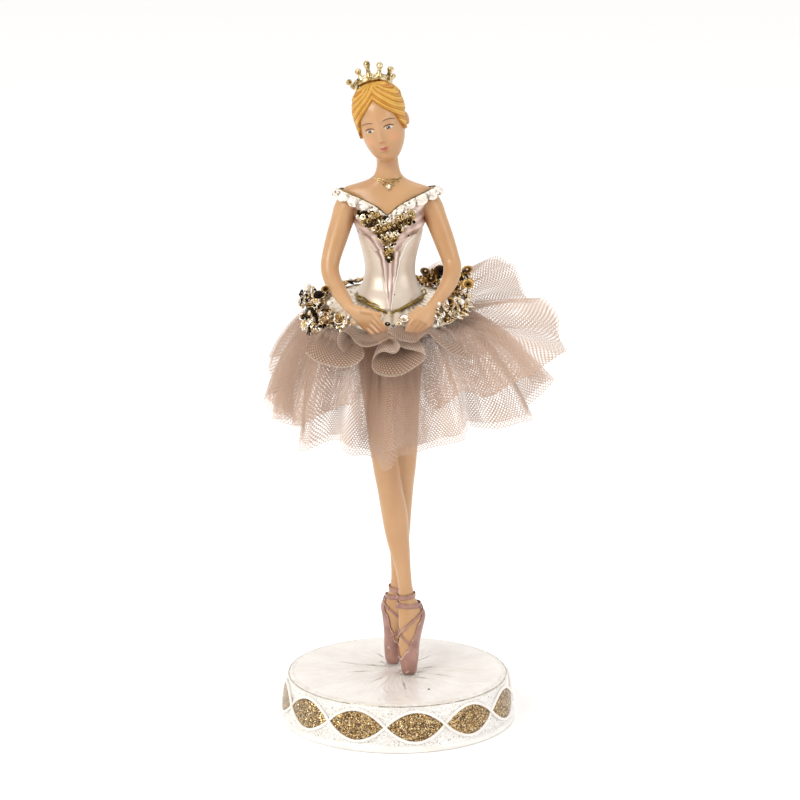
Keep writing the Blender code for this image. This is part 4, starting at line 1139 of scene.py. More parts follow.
def lofted(bm, rows, sides=12, loop=False):
    """A closed skin through flat rings (centre, half width vector, half thickness vector)."""
    last = len(rows) - (0 if loop else 1)

    def rule(a, b):
        centre, across, over = rows[round(b * last) % len(rows)]
        turn = 2 * math.pi * a
        return centre + across * math.cos(turn) + over * math.sin(turn)

    surface(bm, rule, sides, last, closed=True, ends=not loop)


# The pointe shoes

FEET = {
    "front": (smooth_through(FRONT_FOOT, 6), TURN_OUT),
    "back": (smooth_through(BACK_FOOT, 6), math.pi - TURN_OUT),
}
# Height of the shoe's top edge round the foot, from the instep (0) to the heel (180)
SHOE_EDGE = [(0, 8.0), (50, 12.0), (75, 17.0), (100, 24.0), (130, 31.0), (180, 31.0),
             (230, 31.0), (260, 24.0), (285, 17.0), (310, 12.0)]


def foot_point(foot, turn, height, out):
    """A point on a foot, at an angle from the instep and a height above the toe tip."""
    rows, heading = FEET[foot]
    row = rows[0]
    for low, high in zip(rows, rows[1:]):
        if height >= low[0]:
            share = clamp((height - low[0]) / (high[0] - low[0]))
            row = [p + (q - p) * share for p, q in zip(low, high)]
    _, x, y, length, width = row
    along = Vector((-math.cos(heading), -math.sin(heading), 0))
    across = Vector((-along.y, along.x, 0))
    return (Vector((x, y, height)) + along * (length + out) * math.cos(turn)
            + across * (width + out) * math.sin(turn))


def make_shoe(foot, look):
    bm = bmesh.new()

    def rule(a, b):
        turn = 2 * math.pi * a
        top = around(turn, SHOE_EDGE)
        if b < 0.04:
            return foot_point(foot, turn, -0.25, 0.35 - 1.6 * (1 - b / 0.04))
        if b <= 0.90:
            share = (b - 0.04) / 0.86
            height = -0.25 + (top + 0.25) * share
            crease = 0.10 * grain(foot_point(foot, turn, height, 0), 2.4) * bump(height - 27, 7)
            tip = 0.5 * max(0.0, 1 - height / 1.6) ** 2
            return foot_point(foot, turn, height, 0.38 + crease - tip)
        roll = (b - 0.90) / 0.10
        height = top + 0.42 * math.sin(math.pi * min(roll * 1.25, 1.0))
        out = 0.38 + 0.32 * math.sin(math.pi * min(roll * 1.6, 1)) - 1.5 * roll ** 2
        return foot_point(foot, turn, height, out)

    def worn(a, b):
        top = around(2 * math.pi * a, SHOE_EDGE)
        height = top * (b - 0.04) / 0.86
        edge = clamp(1 - abs(top - height - 0.15) / 0.55)
        spot = grain(foot_point(foot, 2 * math.pi * a, height, 0), 1.6, 5.0)
        return clamp(0.85 * edge + 0.8 * clamp(spot - 0.52) * 4 * (height < 12) + 0.35 * (height < 0.6))

    surface(bm, rule, 88, 110, closed=True, ends=True, marks={"worn": worn})
    piece(f"{foot}_pointe_shoe", bm, look)


CROSSING = 0.486  # share of a ribbon's run at which it passes over the instep


def make_ribbons(foot, look):
    """Flat ribbons crossed over the instep and wound twice round the ankle, with two knots."""
    bm = bmesh.new()

    def band(path, wide, out=0.55, thick=0.28, loop=False):
        rows = []
        count = len(path)
        for k, (turn, height) in enumerate(path):
            here = foot_point(foot, turn, height, out)
            inner = foot_point(foot, turn, height, out - 1.0)
            before = path[k - 1 if loop else max(k - 1, 0)]
            after = path[(k + 1) % count if loop else min(k + 1, count - 1)]
            run = foot_point(foot, *after, out) - foot_point(foot, *before, out)
            face = (here - inner).normalized()
            across = face.cross(run.normalized()).normalized()
            rows.append((here, across * wide / 2, face * thick / 2))
        lofted(bm, rows, 12, loop)

    for sign in (-1, 1):
        path = []
        for k in range(33):
            share = k / 32
            turn = sign * math.radians(-85 + 175 * share)
            if share < CROSSING:
                height = 13.5 + 6.0 * (share / CROSSING)
            else:
                height = 19.5 + 7.5 * ((share - CROSSING) / (1 - CROSSING)) ** 0.9
            path.append((turn, height))
        band(path, 1.15, out=0.32 + 0.10 * (sign + 1), thick=0.2)
    for height, tilt in ((32.4, 0.5), (36.3, -0.4)):
        turns = [2 * math.pi * k / 64 for k in range(64)]
        path = [(turn, height + tilt * math.cos(turn + 0.6)) for turn in turns]
        band(path, 2.2, out=0.5, thick=0.32, loop=True)
    for height in (32.3, 36.2):
        knot = foot_point(foot, math.radians(4), height, 0.75)
        ball(bm, knot, (1.5, 0.5, 0.85), fine=2)
    for sign in (-1, 1):
        shares = [k / 20 for k in range(21)]
        path = [(sign * math.radians(90 + 80 * share), 27.0 + 4.6 * share) for share in shares]
        band(path, 1.4, out=0.4, thick=0.22)
    piece(f"{foot}_shoe_ribbons", bm, look)


# The plinth

LENSES = 12
LENS_TURN = math.radians(9.0)
LENS_REACH = 7.0
LENS_MIDDLE = 11.65  # height of the lenses' long axis


def wall_point(angle, height, out):
    """A point on the plinth's slanted wall, pushed out from it, above the plinth's foot."""
    foot, top, low, high = 53.0, 50.6, 3.4, 19.9
    share = (height - low) / (high - low)
    slant = math.atan2(foot - top, high - low)
    radius = foot + (top - foot) * share + out * math.cos(slant)
    return Vector((radius * math.sin(angle), -radius * math.cos(angle), height + out * math.sin(slant)))


def lens_share(angle):
    """Signed swing of the cords: 0 where they cross, 1 or -1 over the middle of a lens."""
    wave = math.cos(LENSES * (angle - LENS_TURN) / 2)
    return math.copysign(abs(wave) ** 0.85, wave)


def plinth_profile(b):
    """Radius and height down the plinth's outline: top, rolled edge, wall, foot and underside."""
    outline = [
        (0.00, 0.0, 21.5), (0.42, 46.6, 21.5), (0.455, 48.2, 21.35), (0.48, 49.5, 20.9),
        (0.50, 50.3, 20.2), (0.52, 50.55, 19.6), (0.56, 50.8, 18.6), (0.80, 52.6, 5.8),
        (0.84, 52.95, 3.9), (0.86, 53.3, 3.1), (0.88, 53.9, 2.5), (0.90, 54.1, 1.6), (0.92, 54.0, 0.7),
        (0.94, 53.4, 0.15), (0.96, 52.5, 0.0), (1.00, 0.0, 0.0),
    ]
    for (a, r, z), (c, q, y) in zip(outline, outline[1:]):
        if b <= c:
            share = (b - a) / (c - a)
            return r + (q - r) * share, z + (y - z) * share
    return 0.0, 0.0


def frost(x, y):
    """The shallow radial crackle cast into the plinth's top."""
    radius = math.hypot(x, y)
    angle = math.atan2(y, x)
    swirl = angle + 0.12 * noise.noise(Vector((x / 9, y / 9, 4.0)))
    ray = noise.noise(Vector((11 * math.cos(swirl), 11 * math.sin(swirl), radius / 26)))
    fine = noise.noise(Vector((27 * math.cos(swirl), 27 * math.sin(swirl), radius / 9)))
    crack = 1 - min(1.0, abs(ray) * 5) + 0.6 * (1 - min(1.0, abs(fine) * 4))
    return crack * clamp(radius / 10.0) * clamp((47.0 - radius) / 3.0), ray


# Brown-gold strokes left on the plinth's top by the feet: (x, y, length, width, degrees)
TARNISH = [
    (4.5, -9.5, 9.0, 2.2, -30), (8.5, -5.0, 6.0, 1.8, 40), (-3.0, 5.5, 8.0, 2.4, 20),
    (-6.5, 10.0, 6.0, 1.6, -40), (1.0, -3.0, 7.0, 1.4, 75), (11.0, -12.0, 5.0, 1.2, -15),
    (-12.0, 6.0, 9.0, 1.6, -12), (-17.0, -3.0, 10.0, 1.1, 8), (-22.0, 9.0, 9.0, 1.0, -22),
    (14.0, 3.0, 8.0, 1.1, 14), (20.0, -8.0, 11.0, 0.9, -20), (-9.0, -14.0, 9.0, 0.9, 55),
    (3.0, -22.0, 10.0, 0.9, 96), (12.0, 16.0, 10.0, 1.0, 52), (-8.0, 20.0, 8.0, 0.9, -66),
]


def make_plinth():
    bm = bmesh.new()

    def rule(a, b):
        angle = 2 * math.pi * a
        radius, height = plinth_profile(b)
        x, y = radius * math.sin(angle), -radius * math.cos(angle)
        if b < 0.44:
            crack, _ = frost(x, y)
            height += 0.16 * crack - 0.14
        return Vector((x, y, height))

    def tarnish_and_reflection(a, b):
        radius, _ = plinth_profile(b)
        angle = 2 * math.pi * a
        x, y = radius * math.sin(angle), -radius * math.cos(angle)
        # on the rolled edge: a painted reflection, the olive-grey line of the glossy varnish
        if b > 0.44:
            return 0.25 * clamp(0.5 + grain((x, y, 60 * b), 3.0)) * (0.44 < b < 0.52)
        found = 0.0
        for cx, cy, length, width, degrees in TARNISH:
            t = math.radians(degrees)
            u = (x - cx) * math.cos(t) + (y - cy) * math.sin(t)
            v = -(x - cx) * math.sin(t) + (y - cy) * math.cos(t)
            ragged = 1 + 0.7 * grain((x, y, 0), 2.0)
            found = max(found, bump(u, length / 2 * ragged) * bump(v, width / 2 * ragged))
        crack, ray = frost(x, y)
        near = bump(radius, 26.0)
        return clamp(0.9 * found + (0.1 + 0.3 * near) * crack * clamp(0.4 + 0.9 * ray))

    def sparkle(a, b):
        return clamp((b - 0.49) / 0.04) * clamp((0.88 - b) / 0.03)

    surface(bm, rule, 480, 110, closed=True, marks={"tarnish_and_reflection": tarnish_and_reflection, "sparkle": sparkle})
    made = piece("plinth_drum", bm, plinth_lacquer(), lift=0.0)
    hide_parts("plinth")


def make_rim_reflection_line():
    """The thin olive-grey line round the top's edge: a painted reflection in the glossy varnish."""
    bm = bmesh.new()
    rows = []
    for k in range(160):
        turn = 2 * math.pi * k / 160
        out = Vector((math.sin(turn), -math.cos(turn), 0))
        rows.append((out * 50.0 + Vector((0, 0, 20.55)), out * 0.26, Vector((0, 0, 0.26))))
    lofted(bm, rows, 8, True)
    look = gilding("painted_rim_reflection", "#8F8A79", "#B7B2A2", "#D5D1C6", 0.22)
    piece("plinth_rim_reflection", bm, look, lift=0.0)


def make_stray_flake():
    """A dark flake that lies on the plinth's top."""
    bm = bmesh.new()
    ball(bm, Vector((14.1, -28.0, 21.45)), (0.6, 0.6, 0.22), fine=2)
    look = gilding("dark_flake", "#15120F", "#221D18", "#3A322A", 0.2)
    piece("stray_flake", bm, look, lift=0.0)


# Puddles of glue round the toes: (x, y, half width, half depth)
GLUE = [(5.4, -7.6, 4.6, 4.0), (-2.0, 8.3, 4.4, 4.0), (7.6, -10.2, 2.4, 1.6), (2.2, -9.8, 2.0, 1.5)]


def make_toe_glue():
    bm = bmesh.new()
    for x, y, wide, deep in GLUE:
        ball(bm, Vector((x, y, 21.35)), (wide, deep, 0.75), fine=4)
    piece("toe_glue", bm, clear_resin(), lift=0.0)


def make_plinth_cords():
    """Two cords that swing up and down the wall and pass over and under where they cross."""
    bm = bmesh.new()
    steps = 144
    for sign in (-1, 1):
        keys = []
        for k in range(steps + 1):
            angle = LENS_TURN + 2 * math.pi * k / steps
            cross = math.sin(LENSES * (angle - LENS_TURN) / 2)
            near = 1 - abs(lens_share(angle))
            height = LENS_MIDDLE + sign * LENS_REACH * lens_share(angle)
            out = 0.5 + 0.36 * sign * cross * near ** 2
            keys.append((*wall_point(angle, height, out), 0.68))
        tube(bm, keys, 1, 14, up=(0, 0, 1), loop=True)
    look = plinth_lacquer()
    look.name = "plinth_cord_lacquer"
    piece("plinth_cords", bm, look, lift=0.0)


def make_glitter_fills():
    look = glitter(
        "gold_glitter_in_glue",
        [(0.0, "#1E150C"), (0.2, "#5A4224"), (0.45, "#8F6E40"), (0.72, "#B9965F"), (1.0, "#EFDDB4")],
        0.46, 1.1,
    )
    half_angle = math.pi / LENSES
    for number in range(LENSES):
        centre = LENS_TURN + number * 2 * half_angle
        bm = bmesh.new()

        def rule(a, b):
            share = -1 + 2 * a
            angle = centre + share * half_angle * 0.92
            half = max(0.15, LENS_REACH * abs(lens_share(angle)) - 0.42)
            height = LENS_MIDDLE + half * (-1 + 2 * b)
            edge = min(1.0, 6 * min(a, 1 - a), 6 * min(b, 1 - b))
            lump = 0.16 * grain(wall_point(angle, height, 0), 0.6, number)
            return wall_point(angle, height, 0.12 + 0.55 * edge ** 0.5 + lump * edge)

        surface(bm, rule, 64, 34)
        made = piece(f"glitter_bed_{number + 1:02d}", bm, look, lift=0.0)
        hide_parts(f"glitter_fill_{number + 1:02d}")


# The tutu

UNDER_DROOP = [
    (0, (70, 86)), (35, (64, 82)), (60, (54, 72)), (90, (44, 60)), (125, (30, 46)),
    (160, (32, 52)), (205, (42, 66)), (240, (54, 82)), (270, (68, 90)), (300, (68, 89)),
    (330, (68, 87)),
]
TOP_DROOP = [
    (0, (64, 84)), (20, (62, 82)), (38, (46, 66)), (60, (20, 36)), (90, (0, 14)), (120, (-16, 0)),
    (140, (-25, -8)), (156, (-12, 10)), (175, (4, 28)), (205, (20, 46)), (240, (40, 74)),
    (270, (56, 86)), (300, (58, 84)), (328, (56, 77)), (345, (62, 83)),
]


def fold_wave(angle):
    """The tutu's gathers at an angle: uneven folds of about unit height."""
    slow = 0.55 * math.sin(2 * angle + 0.6) + 0.35 * math.sin(3 * angle + 2.1)
    main = math.sin(12 * angle + 1.3 * slow)
    return 0.82 * main + 0.18 * math.sin(18 * angle + 2.0 + slow)


def tulle_column(angle, drop, droop, depth, fold, steps, gather, seed):
    """Points down one radius of a layer of tulle, from the hips out under the basque to the hem."""
    hip = Vector((13.0 * math.sin(angle), 10.2 * math.cos(angle)))
    start = hip.length + 1.9
    rim = math.hypot(BASQUE_WIDTH * math.sin(angle), BASQUE_DEPTH * math.cos(angle))
    run = rim - start
    first = around(angle, [(at, pair[0]) for at, pair in droop])
    last = around(angle, [(at, pair[1]) for at, pair in droop])
    z = basque_height(angle, start / rim) - BASQUE_THICKNESS - depth
    edge = basque_height(angle, 1.0) - BASQUE_THICKNESS - depth
    slope = math.atan2(z - edge, run)
    radius = start
    points = [(radius, z, slope)]
    inner = max(2, steps // 4)
    for n in range(1, inner + 1):
        share = n / inner
        points.append((start + run * share, z + (edge - z) * share, slope))
    radius, z = rim, edge
    outer = steps - inner
    for n in range(1, outer + 1):
        share = (n - 0.5) / outer
        ease = min(1.0, share / 0.18)
        ease = ease * ease * (3 - 2 * ease)
        bend = slope + (math.radians(first) - slope) * ease
        bend += math.radians(last - first) * share * share
        radius += drop / outer * math.cos(bend)
        z -= drop / outer * math.sin(bend)
        points.append((radius, z, bend))
    made = []
    for n, (r, height, bend) in enumerate(points):
        out = max(0.0, (n - inner) / outer)
        push = fold * drop * out * fold_wave(angle)
        close = 0.35 + 0.65 * bump(out - 0.25, 0.45)
        push += gather * close * clamp(n / inner - 0.2) * fine_wave(angle, out, seed)
        r += push * math.sin(bend)
        height += push * math.cos(bend)
        made.append(Vector((MIDLINE + r * math.sin(angle), -r * math.cos(angle), height)))
    return made


def fine_wave(angle, out, seed):
    """The small uneven gathers that run down from the root of a layer."""
    wander = 1.6 * noise.noise(Vector((2.2 * math.cos(angle), 2.2 * math.sin(angle), seed + 0.7 * out)))
    wave = math.sin(41 * angle + 4.0 * wander + seed)
    wave += 0.6 * math.sin(67 * angle + 5.0 * wander + 2.0 * seed)
    wave += 0.9 * out * math.sin(23 * angle + 3.0 * wander + 1.7 * seed)
    return wave * (0.75 + 0.5 * noise.noise(Vector((3 * angle, seed, out))))


# How far the hem hangs by the angle from the front, as a share of the layer's drop
UNDER_HEM = [
    (0, 1.03), (5, 0.92), (17, 0.93), (32, 0.88), (46, 0.80), (62, 0.92), (75, 0.98), (90, 0.93),
    (110, 1.0), (130, 0.95), (150, 1.02), (175, 0.94), (200, 1.02), (225, 0.95), (250, 1.02),
    (268, 0.94), (285, 0.86), (300, 0.90), (313, 0.98), (322, 0.88), (331, 0.85), (343, 0.94),
    (350, 0.98), (357, 1.05),
]
TOP_HEM = [
    (0, 1.16), (8, 1.10), (20, 1.14), (27, 0.80), (38, 0.70), (52, 0.90), (64, 1.02), (78, 1.14),
    (90, 1.0), (100, 0.86), (115, 0.84), (128, 0.93), (150, 1.0), (180, 0.95), (210, 1.02),
    (240, 0.95), (262, 0.98),
    (280, 0.94), (298, 1.06), (312, 1.06), (326, 0.82), (338, 0.72), (345, 1.10), (352, 1.22),
]


def make_tulle(name, node_name, drop, droop, hem, level, fold, seed, flat, gather, look):
    """One sheet of tulle, gathered on to the hips."""
    columns, steps = 540, 44
    grid = []
    for k in range(columns + 1):
        angle = 2 * math.pi * k / columns
        length = drop * around(angle, hem)
        length *= 1 + 0.012 * noise.noise(Vector((9 * math.cos(angle), 9 * math.sin(angle), seed + 3)))
        grid.append(tulle_column(angle, length, droop, 0.6 + level * 1.6, fold, steps, gather, seed))
    bm = bmesh.new()
    cloth = (flat[0] / MM, flat[1] / MM)

    # painted shade: darker in the folds' valleys and near the root under the basque; also darker towards
    # the front
    def thick(a, b):
        angle = 2 * math.pi * a
        valley = 0.5 - 0.5 * fold_wave(angle) * clamp(2 * b - 0.5)
        front = bump(math.remainder(angle, 2 * math.pi), 0.42)
        return clamp((0.45 + 0.4 * front) * (1 - b) ** 1.5 + 0.35 * valley + 0.2 * front)

    surface(bm, lambda a, b: grid[round(a * columns)][round(b * steps)], columns, steps, cloth=cloth,
            closed=True, marks={"thick": thick})
    made = piece(name, bm, look)
    if node_name:
        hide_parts(node_name)


# The folded edge of the front ruffle, from the dancer's right to the left (side, depth, height)
RUFFLE_EDGE = [
    (-40.2, -34, 155.6), (-35.7, -40, 153.0), (-29.6, -44, 151.7), (-23.6, -47, 151.5),
    (-18.2, -48, 153.1), (-14.5, -46, 156.2), (-14.8, -42, 158.1), (-17.8, -39, 157.5),
    (-21.1, -38, 156.2), (-24.3, -40, 157.7), (-26.1, -43, 161.9), (-25.3, -44, 165.7),
    (-22.9, -43, 166.8), (-20.4, -43, 164.9), (-18.0, -45, 162.2), (-14.5, -46.5, 160.6),
    (-9.6, -46, 161.2), (-6.2, -44, 162.6), (-2.9, -43, 163.7), (-0.2, -44.5, 162.9),
    (1.2, -46, 160.9), (0.0, -47, 158.6), (-2.1, -47.5, 157.9), (-5.6, -46, 158.5),
    (-8.6, -44.5, 157.2), (-10.6, -45, 154.6), (-11.0, -47, 151.7), (-9.1, -49, 149.5),
    (-4.8, -50.5, 148.5), (1.1, -51, 149.0), (6.5, -50, 151.7), (10.8, -48, 154.4),
    (12.1, -46, 156.2), (10.3, -44, 157.6), (6.5, -42.5, 158.4), (2.5, -41.5, 159.2),
    (-0.5, -40.5, 160.8), (-3.2, -39.5, 163.1), (-4.7, -39, 165.9), (-3.2, -40.5, 165.3),
    (0.0, -42, 163.1), (3.8, -43, 162.2), (7.6, -43, 162.0), (10.0, -42, 163.5), (11.9, -40.5, 165.0),
    (13.8, -39.5, 164.9), (15.7, -40, 162.8), (19.0, -41, 160.1), (23.8, -42, 156.5), (30.0, -38, 154.0),
]


RUFFLE_WIDTH = 18.5  # of the doubled strip, in millimetres
RUFFLE_STEPS = 18


def make_ruffle(look):
    """The short doubled strip of tulle at the front, folded along its edge and left in loops."""
    edge = [Vector(row) for row in smooth_through(RUFFLE_EDGE, 8)]
    last = len(edge) - 1
    rows = []
    for k, point in enumerate(edge):
        share = k / last
        trend = -27.0 + 49.0 * share
        root = Vector((trend + 0.42 * (point.x - trend), -25.0 + 0.4 * (point.y + 45.0),
                       161.5 + 0.35 * (point.z - 158.0)))
        column = []
        for n in range(RUFFLE_STEPS + 1):
            reach = n / RUFFLE_STEPS
            bow = Vector((0, -0.6, 1.5)) * math.sin(math.pi * reach)
            frill = 0.25 * math.sin(1.15 * k) * (1 - reach) ** 2
            column.append(root.lerp(point, reach) + bow + Vector((0, 0, frill)))
        rows.append(column)
    folded = []
    for k, column in enumerate(rows):
        before, after = rows[max(k - 1, 0)], rows[min(k + 1, last)]
        front, back = [], []
        for n, point in enumerate(column):
            down = column[min(n + 1, RUFFLE_STEPS)] - column[max(n - 1, 0)]
            across = (after[n] - before[n]).cross(down).normalized()
            gap = 0.42 * math.sqrt(max(0.0, 1 - (n / RUFFLE_STEPS) ** 6))
            front.append(point + across * gap)
            back.append(point - across * gap)
        folded.append(front + back[::-1][1:])
    steps = len(folded[0]) - 1
    bm = bmesh.new()
    length = sum((b - a).length for a, b in zip(edge, edge[1:]))
    flat = (round(length * MM, 3), 2 * RUFFLE_WIDTH * MM)
    # painted shade: the back ply is darkest, the front ply darker towards its root
    thick = lambda a, b: 1.0 if b > 0.52 else clamp(1.7 * (0.5 - b))
    surface(bm, lambda a, b: folded[round(a * last)][round(b * steps)], last, steps,
            cloth=(flat[0] / MM, flat[1] / MM), marks={"thick": thick})
    made = piece("front_ruffle_tulle", bm, look)
    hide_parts("tutu_front_ruffle")


def make_tutu():
    """Two layers, each of an outer and an inner sheet, and the front ruffle."""
    look = tulle("taupe_nylon_tulle", "#C9AC98", "#866852", NET_THREAD)
    inner_hem = [(at, 0.5 if at < 25 or at > 340 else share) for at, share in TOP_HEM]
    # name, node, drop, droop, hem, level under the basque, fold, seed, flat size, gather.
    # The flat sizes fit the area of the modelled folds. The hems run 0.56 to 0.66 m round, so
    # the real net is cut wider than they say.
    for row in (
        ("under_tulle", "tutu_under_layer", 55.0, UNDER_DROOP, UNDER_HEM, 2.0, 0.14, 1.3,
         (0.40, 0.073), 1.25),
        ("under_tulle_inner", None, 52.0, UNDER_DROOP, UNDER_HEM, 1.7, 0.12, 7.9, (0.40, 0.070), 1.25),
        ("top_tulle_outer", "tutu_top_layer", 44.0, TOP_DROOP, TOP_HEM, 0.6, 0.14, 4.1, (0.31, 0.062), 1.1),
        ("top_tulle_inner", None, 43.0, TOP_DROOP, inner_hem, 1.1, 0.125, 11.7, (0.31, 0.062), 1.1),
    ):
        make_tulle(*row, look)
    make_ruffle(tulle("taupe_nylon_tulle_doubled", "#DAC0AB", "#84664F", DOUBLED_THREAD))


# The crown's band in section (radius, height), its points (degrees round, length, lean outwards
# in degrees) and how thick a point is along its length (share, radius)
CROWN_BAND = [(7.5, -0.4), (8.15, 0.3), (8.0, 1.1), (8.45, 1.9), (8.3, 2.7), (7.2, 2.7), (6.6, 1.0),
              (6.5, -0.4)]
CROWN_POINTS = [
    (-78, 4.9, 42), (-24, 5.3, 30), (4, 7.5, 30), (36, 6.4, 32), (74, 5.9, 32),
    (110, 5.2, 30), (146, 5.0, 30), (182, 5.0, 30), (218, 5.0, 30), (250, 5.0, 34),
]
POINT_RADII = [(0.0, 1.6), (0.22, 1.15), (0.42, 0.82), (0.56, 0.95), (0.70, 1.45), (0.84, 1.42),
               (0.95, 0.9), (1.0, 0.4)]


def make_crown():
    bm = bmesh.new()

    def rule(a, b):
        r, z = CROWN_BAND[round(b * 8) % 8]
        turn = 2 * math.pi * a
        return CROWN @ Vector((r * math.sin(turn), -r * math.cos(turn), z))

    surface(bm, rule, 96, 8, closed=True)
    for degrees, length, lean in CROWN_POINTS:
        turn = math.radians(degrees)
        out = Vector((math.sin(turn), -math.cos(turn), 0))
        lean = math.radians(lean)
        along = out * math.sin(lean) + Vector((0, 0, math.cos(lean)))
        root = out * 7.5 + Vector((0, 0, 1.3))
        keys = [(*(CROWN @ (root + along * (length * share))), thick) for share, thick in POINT_RADII]
        tube(bm, keys, 3, 14)
        for k in (-1, 1):
            side = turn + k * 0.22
            foot = CROWN @ Vector((7.9 * math.sin(side), -7.9 * math.cos(side), 1.9))
            ball(bm, foot, (0.6, 0.6, 0.6), fine=2)
    crown = cast(bm, 0.2, 1)
    made = piece("gilt_crown", crown, gilding("antique_gilt", "#5A4729", "#B39A68", "#EBDDB6", 0.2),
                 tidy=False)
    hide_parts("crown")


def bead(bm, centre, size, own, turn=None, fine=2):
    """A bead that carries its own tone."""
    layer = bm.verts.layers.float.get("own") or bm.verts.layers.float.new("own")
    for vert in ball(bm, centre, size, turn, fine):
        vert[layer] = own


def turned_to(away):
    """A turn that points an object's up along away."""
    return away.to_track_quat("Z", "Y").to_matrix()


def cup(bm, centre, away, radius, own, dish=0.28, hole=0.14, long=1.0, spin=0.0):
    """A cupped, faceted sequin with a hole, open towards away. long stretches it into a petal."""
    turn = turned_to(away) @ Matrix.Rotation(spin, 3, "Z")
    section = [(hole, 0.0), (0.62, 0.25), (1.0, 1.0), (0.95, 1.1), (hole, 0.14)]

    def rule(a, b):
        r, z = section[round(b * 5) % 5]
        angle = 2 * math.pi * a
        flat = Vector((radius * r * math.cos(angle) / long, radius * r * math.sin(angle) * long,
                       radius * dish * z))
        return centre + turn @ flat

    surface(bm, rule, 11, 5, closed=True, marks={"own": lambda a, b: own})


# Droop of the hip trim, which drapes off the basque's rim over the tulle
TRIM_DROOP = [
    (0, 18), (40, 12), (66, 8), (90, -2), (125, -18), (160, -8), (205, 8), (250, 20), (280, 26),
    (320, 20),
]


def trim_point(angle, out, up):
    """A point beside the basque's rim, out along the trim's drape and up from it."""
    outer = math.radians(around(angle, TRIM_DROOP))
    inner = math.atan(BASQUE_DROP / ((1 - BASQUE_FLAT) * BASQUE_WIDTH) + BASQUE_TILT * math.cos(angle))
    blend = clamp(0.5 + out / 4.0)
    droop = inner + (outer - inner) * blend
    rim = Vector((BASQUE_WIDTH * math.sin(angle), -BASQUE_DEPTH * math.cos(angle), 0))
    away = rim.normalized()
    along = away * math.cos(droop) - Vector((0, 0, math.sin(droop)))
    over = away * math.sin(droop) + Vector((0, 0, math.cos(droop)))
    base = rim + Vector((MIDLINE, 0, basque_height(angle, 1.0)))
    return base + along * out + over * up, along, over


def rim_spot(side, height, depth=None):
    """A place on the trim: on the rim's front half, or at a depth of its own farther back."""
    angle = math.asin(max(-1.0, min(1.0, (side - MIDLINE) / (BASQUE_WIDTH + 1.2))))
    if depth is not None and depth > 0:
        angle = math.pi - angle
    spot, along, over = trim_point(angle, 1.2, 1.6)
    return Vector((side, spot.y if depth is None else depth, height)), along, over


# Big cup sequins on the hips: (side, height, size, tone from 0 dark to 1 silver, depth)
CUPS = [
    (-34.6, 175.8, 2.5, 0.04, None), (-42.3, 163.8, 2.1, 0.98, None), (-37.3, 171.5, 2.1, 0.6, None),
    (-31.5, 179.6, 1.9, 0.30, None), (12.2, 180.6, 2.5, 0.2, 20.0), (15.8, 177.8, 2.8, 0.3, 19.0),
    (19.2, 181.6, 2.9, 0.16, 18.0), (22.4, 177.6, 2.7, 0.34, 15.0), (31.6, 183.2, 2.6, 0.3, 10.0),
    (31.4, 177.6, 2.7, 0.45, 6.0), (27.6, 180.6, 2.6, 0.12, 9.0), (28.6, 169.8, 2.2, 0.5, None),
    (22.6, 174.4, 2.3, 0.3, None),
]
# Clusters of small petals and beads: (side, height, half width, half height, count, darkest,
# lightest, depth)
CLUSTERS = [
    (-39.0, 173.0, 5.0, 6.4, 66, 0.0, 1.0, None),
    (-37.0, 165.4, 5.4, 5.4, 66, 0.05, 1.0, -15.0),
    (-27.0, 166.6, 7.5, 2.8, 40, 0.3, 1.0, None),
    (14.5, 178.6, 5.5, 3.6, 34, 0.0, 0.65, 19.0), (27.5, 179.6, 6.0, 5.0, 50, 0.0, 0.65, 9.0),
    (20.5, 171.4, 5.0, 4.8, 50, 0.2, 1.0, None),
    (28.6, 172.0, 5.2, 5.2, 50, 0.15, 0.9, None),
]
# Sequins laid on the basque between the hands: (side, depth, height, size, tone)
FRONT_SEQUINS = [
    (2.9, -22.2, 168.0, 2.3, 0.86), (0.6, -25.4, 166.6, 1.2, 0.7), (6.4, -24.0, 167.0, 1.1, 0.55),
    (-4.4, -26.0, 166.4, 1.3, 0.02), (-6.6, -25.4, 166.6, 1.0, 0.6), (-1.8, -26.4, 166.0, 0.8, 0.05),
]
PEARLS = [
    (-39.7, 177.4, 1.9), (-29.6, 174.2, 1.1), (-35.6, 167.0, 1.0), (28.0, 172.8, 1.5), (24.4, 174.6, 1.1),
    (31.2, 171.8, 1.1), (18.0, 174.8, 0.9), (-44.0, 171.5, 1.0), (-33.5, 161.5, 1.0),
]


def scatter(k, seed=0.0):
    """Two even but irregular numbers from 0 to 1 for a counter."""
    return (0.5 + 0.754878 * k + seed) % 1.0, (0.5 + 0.569840 * k + 1.7 * seed) % 1.0


